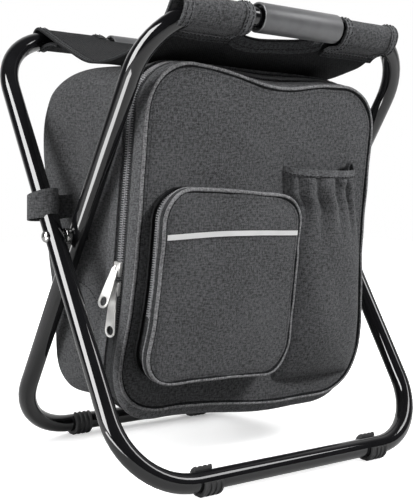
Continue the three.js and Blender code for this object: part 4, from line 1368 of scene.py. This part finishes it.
PIN_X = -144.0
PIN_Z = {"upper": 124.0, "lower": 106.0}
PULL_LENGTH = {"upper": 37.0, "lower": 45.0}
PULL_LIFT = {"upper": math.radians(19), "lower": math.radians(1)}
PULL_TURN = math.radians(12)
PULL_R = 6.3
PULL_NECK_R = 3.8
PULL_HOLE_R = 4.2
PULL_T = 1.5
PULL_OFF = 1.4
SLIDER = (3.6, 11, 13)
SLIDER_TAPER = 0.68
SLIDER_EDGE = 0.8
ARCH_R, ARCH_WIRE_R = 3.6, 1.1
SLIDER_IN = 1.6


class STOOL_OT_pulls(bpy.types.Operator):
    """Cast the zip sliders and stamp their pulls"""

    bl_idname = "stool.pulls"
    bl_label = "Sliders and pulls"

    def slider(self, name, spot, side):
        """A body that narrows downwards, with an arch over it that holds the pull."""
        clear_selection()
        bpy.ops.mesh.primitive_cube_add(size=1)
        body = named(name)
        body.data.transform(Matrix.Diagonal((*SLIDER, 1)))
        bpy.ops.object.mode_set(mode="EDIT")
        pick_faces(body, lambda middle, normal: normal.z < -0.9)
        bpy.ops.transform.resize(value=(1, SLIDER_TAPER, 1))
        bpy.ops.mesh.select_all(action="SELECT")
        bpy.ops.mesh.bevel(offset=SLIDER_EDGE, segments=2, affect="EDGES")
        bpy.ops.object.mode_set(mode="OBJECT")
        clear_selection()
        bpy.ops.mesh.primitive_torus_add(
            major_radius=ARCH_R,
            minor_radius=ARCH_WIRE_R,
            major_segments=28,
            minor_segments=10,
            rotation=(math.pi / 2, 0, 0),
        )
        arch = named("arch")
        bpy.ops.object.transform_apply(rotation=True)
        arch.data.transform(Matrix.Translation((side * SLIDER_IN, 0, 0)) @ Matrix.Diagonal((0.8, 1.6, 1, 1)))
        make_active(body)
        arch.select_set(True)
        bpy.ops.object.join()
        body.data.transform(IN_BAG @ Matrix.Translation(spot))
        smooth_faces(body, 40)
        return body

    def pull(self, name, long, place):
        """A tab that widens to a round end with a hole."""
        reach = long - PULL_R
        turn = np.linspace(0, 2 * np.pi, 720, endpoint=False)
        rim = np.stack([np.cos(turn), np.sin(turn)], -1)
        both = np.maximum(PULL_R, rim @ [0, reach] + PULL_NECK_R)
        corner = (np.gradient(both, turn) * np.array([-rim[:, 1], rim[:, 0]]) + both * rim.T).T
        closed = np.concatenate([corner, corner[:1]])
        run = run_of(closed)
        corner = np.stack(read_off(np.linspace(0, run[-1], 1440, endpoint=False), run, closed), -1)
        angle = np.mod(np.arctan2(corner[:, 1], corner[:, 0]), 2 * np.pi)
        order = np.argsort(angle)
        far = np.hypot(*corner.T)

        def surface(across, along):
            way = np.mod(2 * np.pi * along, 2 * np.pi)
            edge = np.interp(way, angle[order], far[order], period=2 * np.pi)
            out = PULL_HOLE_R + (edge - PULL_HOLE_R) * across
            return np.stack([0 * way, out * np.cos(way), out * np.sin(way) - reach], -1)

        piece = cloth_panel(name, 4, 160, surface, PULL_T, IN_BAG @ place)
        round_edges(piece, 0.3, 2, 50)
        smooth_faces(piece, 35)
        return piece

    def execute(self, context):
        for name, z in PIN_Z.items():
            x = drape(PIN_X, 0.0, z)[0]
            body = self.slider("slider_" + name, (x + SLIDER_IN, 0, z), -1)
            give(body, "nickel", "zip_slider_" + name, ["zip_slider_" + name])
            place = Matrix.Translation((x - PULL_OFF, 0, z)) @ Matrix.Rotation(PULL_LIFT[name], 4, "Y")
            place = place @ Matrix.Rotation(PULL_TURN, 4, "Z")
            tab = self.pull("pull_tab_" + name, PULL_LENGTH[name], place)
            give(tab, "nickel", "zip_pull_" + name, ["zip_pull_" + name])
        give(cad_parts["pocket_zip_slider"], "nickel")
        return {"FINISHED"}


# Pockets

POCKET_BACK = -24.3
POCKET_GUSSET = -30.8
POCKET_RIM = -42.8
POCKET_FACE = -50.3
POCKET_FULL, POCKET_SQUARE = 5.0, 0.5
POCKET_WAVES = ((0.7, 90, 31), (0.35, 34, 14))
POCKET_EDGE_WAVES = ((0.5, 7, 0), (0.3, 17, 0))
STRIP_Z = 160.4
STRIP_BOW = 2.2
STRIP_SLANT = 3.2
STRIP_WIDTH = 4.8
STRIP_INSET = 0.02


class STOOL_OT_pocket(bpy.types.Operator):
    """Sew the zip pocket: gusset, cover, piping, strip and stitches"""

    bl_idname = "stool.pocket"
    bl_label = "Zip pocket"

    def execute(self, context):
        thick = size("cloth")
        face = face_of(POCKET, POCKET_FACE, POCKET_FULL, POCKET_SQUARE, POCKET_WAVES)
        # The base takes the near-black shadow cloth: painted shadow in the recess behind the cover
        behind = gusset_of(POCKET, POCKET_BACK - 0.4, POCKET_GUSSET, 0.5, 10)
        base = cloth_panel("pocket_base", 3, 200, behind, thick)
        give(base, "shadow", "front_flap", ["pocket_gusset"])
        wall = cloth_panel("pocket_wall", 4, 200, gusset_of(POCKET, POCKET_RIM, POCKET_FACE, 0.7), thick)
        give(wall, "canvas_dark")
        panel = cloth_panel("pocket_face", 64, 64, face, thick)
        give(panel, "canvas", replaced=["pocket_cover"])
        edge = edge_of(POCKET, POCKET_FACE - 1.2, PIPING_IN, POCKET_EDGE_WAVES)
        # fold is the near-black ring of painted shadow beside the cover's piping
        cord, fold = pipe_edge("pocket", edge, 240)
        rim = edge_of(POCKET, POCKET_RIM - 1.4, 0.2, POCKET_EDGE_WAVES)
        painted_shadow_and_piping = tube_ring("pocket_rim_piping", rim, size("piping_d") / 2 * 0.7, 240)
        give(painted_shadow_and_piping, "piping")

        def strip(across, along):
            middle = STRIP_Z + STRIP_BOW * np.sin(np.pi * across) + STRIP_SLANT * across
            height = POCKET.share_up(middle + STRIP_WIDTH * (along - 0.5), PANEL_MARGIN)
            return lifted(face, STRIP_INSET + (1 - 2 * STRIP_INSET) * across, height, 1.1)[0]

        shine = cloth_panel("pocket_shine_strip", 64, 3, strip, 0.7)
        give(shine, "strip", "pocket_flap", ["pocket_strip"])
        ring = POCKET.ring(np.linspace(0, 1, 700), 6, PANEL_MARGIN)
        rows = [lifted(face, *ring, 0.9)]
        spots = np.linspace(STRIP_INSET, 1 - STRIP_INSET, 200)
        for along in (-0.22, 1.22):
            rows.append((strip(spots, np.full(200, along)), np.tile([0.0, -1.0, 0.0], (200, 1))))
        thread = stitches("pocket_stitches", rows)
        give(thread, "thread")
        for piece in (wall, panel, fold, cord, painted_shadow_and_piping, thread):
            hang_at_fold(piece)
        return {"FINISHED"}


BOTTLE_BULGE = 28.0
BOTTLE_LOW = 20.0
BOTTLE_MOUTH = 234.0
BOTTLE_LEFT = 31.0
BOTTLE_RIGHT = 129.0
BOTTLE_TOE = 46.0
# How the mouth slants and dips, and how far its ends are drawn to the left
MOUTH_SLANT, MOUTH_DIP = 6.0, 3.5
MOUTH_LEFT, MOUTH_RIGHT = 9.0, 14.0
PLEAT, PLEATS = 5.0, 7.5
FOLD = 3.4
# The elastic's share of the wall's height
ELASTIC = 8 / 210
# Where the small loop is sewn in, in shares of the mouth, with its height and half its width
TAB_ENDS = (0.68, 0.86)
TAB_RISE, TAB_HALF = 9.0, 2.5


def bottle_wall(across, along):
    """The bottle pocket's cloth, from its left seam to its right one and from its toe up to its mouth."""
    mouth = BOTTLE_MOUTH - MOUTH_SLANT * across - MOUTH_DIP * np.sin(np.pi * across)
    z = BOTTLE_LOW + (mouth - BOTTLE_LOW) * along
    left = BOTTLE_LEFT - MOUTH_LEFT * smooth(188, 204, z)
    right = BOTTLE_RIGHT - MOUTH_RIGHT * smooth(130, 225, z)
    toe = np.clip((z - BOTTLE_LOW) / BOTTLE_TOE, 0, 1)
    out = np.sqrt(np.maximum(1 - (1 - toe) ** 2, 0))
    full = 1 - 0.25 * smooth(0.45, 1, along)
    middle = np.sin(np.pi * np.clip(across, 0, 1))
    wave = np.sin(np.pi * PLEATS * across + 0.8 * np.sin(7 * across))
    pleat = 2 * np.sqrt(wave**2 + 0.06) - 1
    gather = PLEAT * pleat * smooth(0.6, 0.92, along) * (1 - 0.7 * smooth(0.94, 0.965, along))
    folds = FOLD * ripple(across * 92, z * 0.2, 34, 41)
    folds = folds * smooth(0.02, 0.3, along) * (1 - smooth(0.9, 0.96, along))
    reach = BOTTLE_BULGE * out * full + (folds + gather) * middle**0.6
    x = left + (right - left) * (1 - np.cos(np.pi * across)) / 2
    return drape(x, POCKET_BACK - 0.2 - reach * middle, z)


class STOOL_OT_bottle_pocket(bpy.types.Operator):
    """Sew the bottle pocket: a gathered wall with an elastic mouth and a small loop"""

    bl_idname = "stool.bottle_pocket"
    bl_label = "Bottle pocket"

    def execute(self, context):
        panel = cloth_panel("bottle_wall", 130, 120, bottle_wall, size("cloth"))
        give(panel, "canvas", "front_flap", ["bottle_pocket"])

        def band(across, along):
            height = 1 + (along - 1) * ELASTIC
            return lifted(bottle_wall, 0.004 + 0.992 * across, height, 1.4)[0]

        elastic = cloth_panel("bottle_mouth", 130, 4, band, 1.3)
        give(elastic, "facing", "front_flap", ["bottle_elastic"])
        line = np.linspace(0.01, 0.99, 300)
        thread = stitches("bottle_stitches", [lifted(band, line, np.full(300, 0.12), 0.8)])
        give(thread, "canvas_dark", "front_flap")
        ends = bottle_wall(np.array(TAB_ENDS), np.full(2, 0.99))

        def tab(across, along):
            spot = ends[0] + (ends[1] - ends[0]) * along[:, None]
            rise = TAB_RISE * np.sin(np.pi * along) ** 0.7
            return spot + np.stack([0 * rise, TAB_HALF * (2 * across - 1) + 1.5, rise], -1)

        loop = cloth_panel("bottle_loop", 3, 24, tab, 1.2)
        give(loop, "canvas_dark", "front_flap")
        line = np.linspace(0.06, 0.97, 120)
        seam = stitches("bottle_seam", [row_on(bottle_wall, place, line, 0.9) for place in (0.965, 0.985)])
        give(seam, "thread", "front_flap")
        return {"FINISHED"}


# Straps

STRAP_LOW = 238.0
STRAP_HIGH = 260.0
STRAP_BEHIND = 12.0
LOOP_MIDDLE = 174.5
LOOP_REACH = 22.5
LOOP_TURN = 148
LOOP_PINCH = 0.14


class STOOL_OT_leg_straps(bpy.types.Operator):
    """Sew the loops that hold the bag to the outer legs"""

    bl_idname = "stool.leg_straps"
    bl_label = "Leg straps"

    def path(self, hand, side):
        """The strap's line in x and y: off the bag, round the leg and back to the bag."""
        turn = np.radians(np.linspace(-LOOP_TURN, LOOP_TURN, 40))
        low, high = (np.array(corner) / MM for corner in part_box("leg_strap_" + hand))
        middle, half = (low[1] + high[1]) / 2, (high[1] - low[1]) / 2 - 1
        reach = LOOP_MIDDLE + LOOP_REACH * np.cos(turn)
        round_leg = smooth(162, 179, reach)
        behind = middle + STRAP_BEHIND * (1 - round_leg)
        wide = half * (LOOP_PINCH + (1 - LOOP_PINCH) * round_leg)
        loop = np.stack([reach, behind + wide * np.sin(turn)], -1)
        seam = middle + STRAP_BEHIND
        tail = np.array([[142.6, seam - 1.6], [149, seam - 1.8]])
        line = np.concatenate([tail, loop, (tail * [1, -1] + [0, 2 * seam])[::-1]])
        soften(line, 4)
        return line * [side, 1], run_of(line)

    def execute(self, context):
        for hand, side in SIDES.items():
            line, run = self.path(hand, side)

            def surface(across, along):
                x, y = read_off(along * run[-1], run, line)
                tall = (STRAP_HIGH - STRAP_LOW) / 2 + 2.5 * hump(along, 0.36, 0.16)
                z = (STRAP_LOW + STRAP_HIGH) / 2 - 1.5 * np.sin(np.pi * along) ** 2 + tall * (2 * across - 1)
                tilt = 0.22 * smooth(146, 168, np.abs(x)) * (y - line[:, 1].mean())
                return np.stack([x, y, z - tilt], -1)

            strap = cloth_panel("leg_loop_" + hand, 8, 96, surface, 1.9, LEVEL)
            give(strap, "canvas", replaced=["leg_strap_" + hand])
            spots = np.linspace(0.05, 0.95, 300)
            rows = [row_on(surface, place, spots, side * 1.15) for place in (0.12, 0.88)]
            thread = stitches("leg_loop_stitches_" + hand, rows, LEVEL)
            give(thread, "canvas_dark")
            for piece in (strap, thread):
                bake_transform(piece)
        return {"FINISHED"}


PAD_X = 58.0
PAD_WIDTH = 48.0
PAD_T = 9.0
PAD_TOP = 184.0
PAD_LOW = 66.0
# How far a pad's line is pulled off the back, from its top end to its low end
PAD_OFF = (0.3, 30.0, 7.0, 7.0)
PAD_PUFF = 1.4
PAD_PRESSURE = 4
PAD_FRAMES = 20
# The webbing's way off the back and up it, from the pad through the buckle to the bag's foot
WEBBING_WAY = np.array([[11, 58], [8.9, 55], [8.9, 49], [7.5, 44], [2.6, 20], [1.6, 14], [1.6, 0]])
WEBBING_HALF = 12.3


def pad_line(share):
    """The middle of a shoulder pad, off the back and up it."""
    t = 1 - share
    first, second, third, last = PAD_OFF
    off = (1 - t) ** 3 * first + 3 * t * (1 - t) ** 2 * second + 3 * t**2 * (1 - t) * third + t**3 * last
    middle = (PAD_TOP + PAD_LOW) / 2
    up = (1 - t) ** 3 * PAD_TOP + 3 * t * (1 - t) * middle + t**3 * PAD_LOW
    return off + PAD_T / 2, up


class STOOL_OT_shoulder_straps(bpy.types.Operator):
    """Pad the shoulder straps, and thread their webbing through the buckles"""

    bl_idname = "stool.shoulder_straps"
    bl_label = "Shoulder straps"

    def pad(self, name, x):
        """A padded strap, filled like a cushion and capped in how far it swells."""
        clear_selection()
        bpy.ops.mesh.primitive_cube_add(size=2)
        piece = named(name)
        in_edit_mode(piece, lambda: bpy.ops.mesh.subdivide(number_cuts=15))
        spot = points_of(piece)
        share = (spot[:, 2] + 1) / 2
        off, up = pad_line(share)
        slim = 1 - 0.25 * np.abs(2 * share - 1) ** 4
        across = spot[:, 0] * (PAD_WIDTH / 2 - 1.5) * slim
        thin = (PAD_T / 2 - 1.6) * (1 - 0.5 * np.abs(spot[:, 0]) ** 6)
        set_points(piece, np.stack([x + across, off + spot[:, 1] * thin, up], -1))
        piece.data.transform(ON_BACK)
        self.fill(piece)
        finish_with(piece, "SUBSURF", levels=1, render_levels=1)
        lay_weave(piece)
        smooth_faces(piece, 60)
        return piece

    def fill(self, piece):
        finish_with(piece, "REMESH", mode="VOXEL", voxel_size=4 * MM)
        before = points_of(piece)
        make_active(piece)
        bpy.ops.object.modifier_add(type="CLOTH")
        cloth = piece.modifiers[-1]
        cloth.settings.use_pressure = True
        cloth.settings.uniform_pressure_force = PAD_PRESSURE
        cloth.settings.effector_weights.gravity = 0
        cloth.point_cache.frame_end = PAD_FRAMES
        for step in range(1, PAD_FRAMES + 1):
            bpy.context.scene.frame_set(step)
        bpy.ops.object.modifier_apply(modifier=cloth.name)
        bpy.context.scene.frame_set(1)
        move = points_of(piece) - before
        far = np.linalg.norm(move, axis=1, keepdims=True)
        set_points(piece, before + move * np.minimum(1, PAD_PUFF * MM / np.maximum(far, 1e-9)))

    def execute(self, context):
        for hand, side in SIDES.items():
            x = side * PAD_X
            pad = self.pad("shoulder_cushion_" + hand, x)
            give(pad, "canvas", "bag", ["shoulder_pad_" + hand])

            def webbing(across, along):
                off, up = read_off(along, np.linspace(0, 1, len(WEBBING_WAY)), WEBBING_WAY)
                return np.stack([x + WEBBING_HALF * (2 * across - 1), off, up], -1)

            web = cloth_panel("webbing_strap_" + hand, 6, 48, webbing, 1.5, ON_BACK)
            give(web, "webbing", "bag", ["strap_webbing_" + hand])
            give(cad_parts["strap_buckle_" + hand], "buckle")
        return {"FINISHED"}


# Stage

SKY = 0.25
# The camera as fitted to the photo, in metres and degrees
CAMERA_PLACE = (-0.6253, -0.80035, 0.25987)
CAMERA_TURN = (37.74, -3.11, 0.67)
LENS, SENSOR = 71.35, 36
# The middle of the floor's painted shade, where its glow is dimmest, and the glow's brightness from there
# outwards
SHADE_MIDDLE = (0.13, 0.2, 0)
SHADE_REACH = (0.05, 0.46)
SHADE_LEVEL = (0.28, 0.97)
# The side of the white backdrop, and how it fades away from there in mirrored light
BACKDROP_WAY = (0.61, 0.79, 0)
BACKDROP_REACH = (0.2, 0.75)
BACKDROP_LEVEL = (0.04, 1)
STOOL_MIDDLE = (0, 0, 0.22)
# Each lamp's place, target, width, height and watts, and whether it shows only in gloss
LAMPS = {
    "front soft box": ((0.8, -1.42, 1.45), STOOL_MIDDLE, 0.55, 0.55, 39, False),
    "left soft box": ((-1.6, 0.05, 0.8), STOOL_MIDDLE, 0.8, 1.2, 19, False),
    "back soft box": ((1.2, 1.35, 1.1), STOOL_MIDDLE, 1.0, 1.0, 30, False),
    "top soft box": ((0.1, 0.2, 1.9), STOOL_MIDDLE, 1.4, 1.4, 6, False),
    "left gloss": ((-1.43, -0.1, 0.85), (-0.19, -0.05, 0.2), 0.85, 1.6, 75, True),
    "low gloss": ((-0.62, -0.2, 0.004), (-0.62, -0.2, 1), 0.42, 0.42, 8, True),
    "right gloss": ((1.07, -0.93, 1.29), STOOL_MIDDLE, 0.5, 0.5, 7, True),
}


class STOOL_OT_stage(bpy.types.Operator):
    """Set the floor, the lights and the camera"""

    bl_idname = "stool.stage"
    bl_label = "Stage"

    def seen(self, tree, mirrored=1.0):
        """One for rays that show the background: straight, mirrored or through glass."""
        path = tree.nodes.new("ShaderNodeLightPath")
        mirror = math_node(tree, "MULTIPLY", path.outputs["Is Glossy Ray"], mirrored)
        seen = math_node(tree, "MAXIMUM", path.outputs["Is Camera Ray"], mirror)
        return math_node(tree, "MAXIMUM", seen, path.outputs["Is Transmission Ray"])

    def floor(self):
        clear_selection()
        bpy.ops.mesh.primitive_plane_add(size=8)
        floor = named("floor")
        finish, tree, skin = new_finish("pale floor")
        tree.nodes.remove(skin)
        kinds = ("BsdfDiffuse", "Emission", "AddShader", "TexCoord")
        matt, glow, both, where = (tree.nodes.new("ShaderNode" + kind) for kind in kinds)
        pale = math_node(tree, "ADD", math_node(tree, "MULTIPLY", self.seen(tree), 0.45), 0.35)
        tree.links.new(pale, matt.inputs["Color"])
        # The floor's glow is dimmest round a point behind the bag: painted shade that deepens the floor's
        # shadow, rising outwards to white
        far = vector_node(tree, "DISTANCE", where.outputs["Object"], SHADE_MIDDLE)
        level = ramp(tree, far.outputs["Value"], *SHADE_REACH, *SHADE_LEVEL, "SMOOTHSTEP")
        level = math_node(tree, "MULTIPLY", self.seen(tree, 0.1), level)
        tree.links.new(level, glow.inputs["Strength"])
        tree.links.new(matt.outputs[0], both.inputs[0])
        tree.links.new(glow.outputs[0], both.inputs[1])
        tree.links.new(both.outputs[0], tree.nodes["Material Output"].inputs["Surface"])
        floor.data.materials.append(finish)

    def world(self, scene):
        """White behind the stool, as straight and mirrored rays see it, and soft light all round."""
        world = bpy.data.worlds.new("studio")
        scene.world = world
        world.use_nodes = True
        tree = world.node_tree
        back = tree.nodes["Background"]
        back.inputs["Color"].default_value = (1, 1, 1, 1)
        where = tree.nodes.new("ShaderNodeTexCoord")
        facing = vector_node(tree, "DOT_PRODUCT", where.outputs["Generated"], BACKDROP_WAY)
        backdrop = ramp(tree, facing.outputs["Value"], *BACKDROP_REACH, *BACKDROP_LEVEL, "SMOOTHSTEP")
        rays = tree.nodes.new("ShaderNodeLightPath").outputs
        mirrored = math_node(tree, "MAXIMUM", rays["Is Glossy Ray"], rays["Is Transmission Ray"])
        change = math_node(tree, "SUBTRACT", backdrop, SKY)
        level = math_node(tree, "ADD", math_node(tree, "MULTIPLY", mirrored, change), SKY)
        level = math_node(tree, "MAXIMUM", level, rays["Is Camera Ray"])
        tree.links.new(level, back.inputs["Strength"])

    def lamp(self, name, place, target, wide, tall, power, shine):
        light = bpy.data.lights.new(name, "AREA")
        light.shape, light.size, light.size_y, light.energy = "RECTANGLE", wide, tall, power
        lamp = bpy.data.objects.new(name, light)
        lamp.location = place
        lamp.rotation_euler = (Vector(target) - Vector(place)).to_track_quat("-Z", "Y").to_euler()
        lamp.visible_diffuse, lamp.visible_glossy, lamp.visible_camera = not shine, shine, False
        bpy.context.scene.collection.objects.link(lamp)

    def camera(self, scene):
        yaw, pitch, roll = (math.radians(turn) for turn in CAMERA_TURN)
        ahead = Vector((math.sin(yaw) * math.cos(pitch), math.cos(yaw) * math.cos(pitch), math.sin(pitch)))
        right = Vector((math.cos(yaw), -math.sin(yaw), 0))
        up = right.cross(ahead)
        turned = math.cos(roll) * right + math.sin(roll) * up
        up = math.cos(roll) * up - math.sin(roll) * right
        lens = bpy.data.cameras.new("photo")
        lens.lens, lens.sensor_width = LENS, SENSOR
        camera = bpy.data.objects.new("photo", lens)
        axes = Matrix((turned, up, -ahead)).transposed().to_4x4()
        camera.matrix_world = Matrix.Translation(CAMERA_PLACE) @ axes
        scene.collection.objects.link(camera)
        scene.camera = camera

    def execute(self, context):
        scene = context.scene
        scene.view_settings.view_transform = "Standard"
        self.floor()
        self.world(scene)
        for name, lamp in LAMPS.items():
            self.lamp(name, *lamp)
        self.camera(scene)
        return {"FINISHED"}


STEPS = (
    STOOL_OT_finishes,
    STOOL_OT_hoops,
    STOOL_OT_feet,
    STOOL_OT_grips,
    STOOL_OT_pivots,
    STOOL_OT_seat,
    STOOL_OT_bag,
    STOOL_OT_flap,
    STOOL_OT_zips,
    STOOL_OT_pulls,
    STOOL_OT_pocket,
    STOOL_OT_bottle_pocket,
    STOOL_OT_leg_straps,
    STOOL_OT_shoulder_straps,
    STOOL_OT_stage,
)


class STOOL_PT_panel(bpy.types.Panel):
    """Steps that build the stool, with its sizes and colours"""

    bl_idname = "STOOL_PT_panel"
    bl_label = "Folding cooler stool"
    bl_space_type = "VIEW_3D"
    bl_region_type = "UI"
    bl_category = "Stool"

    def draw(self, context):
        for step in STEPS:
            self.layout.operator(step.bl_idname)
        for group in (context.scene.stool_sizes, context.scene.stool_colours):
            for key in group.bl_rna.properties.keys():
                if key not in ("rna_type", "name"):
                    self.layout.prop(group, key)


CLASSES = (StoolSizes, StoolColours, *STEPS, STOOL_PT_panel)


def register():
    for made in CLASSES:
        bpy.utils.register_class(made)
    bpy.types.Scene.stool_sizes = PointerProperty(type=StoolSizes)
    bpy.types.Scene.stool_colours = PointerProperty(type=StoolColours)


def unregister():
    del bpy.types.Scene.stool_colours
    del bpy.types.Scene.stool_sizes
    for made in reversed(CLASSES):
        bpy.utils.unregister_class(made)


def main():
    register()
    for step in STEPS:
        group, name = step.bl_idname.split(".")
        getattr(getattr(bpy.ops, group), name)()


if __name__ == "__main__":
    main()
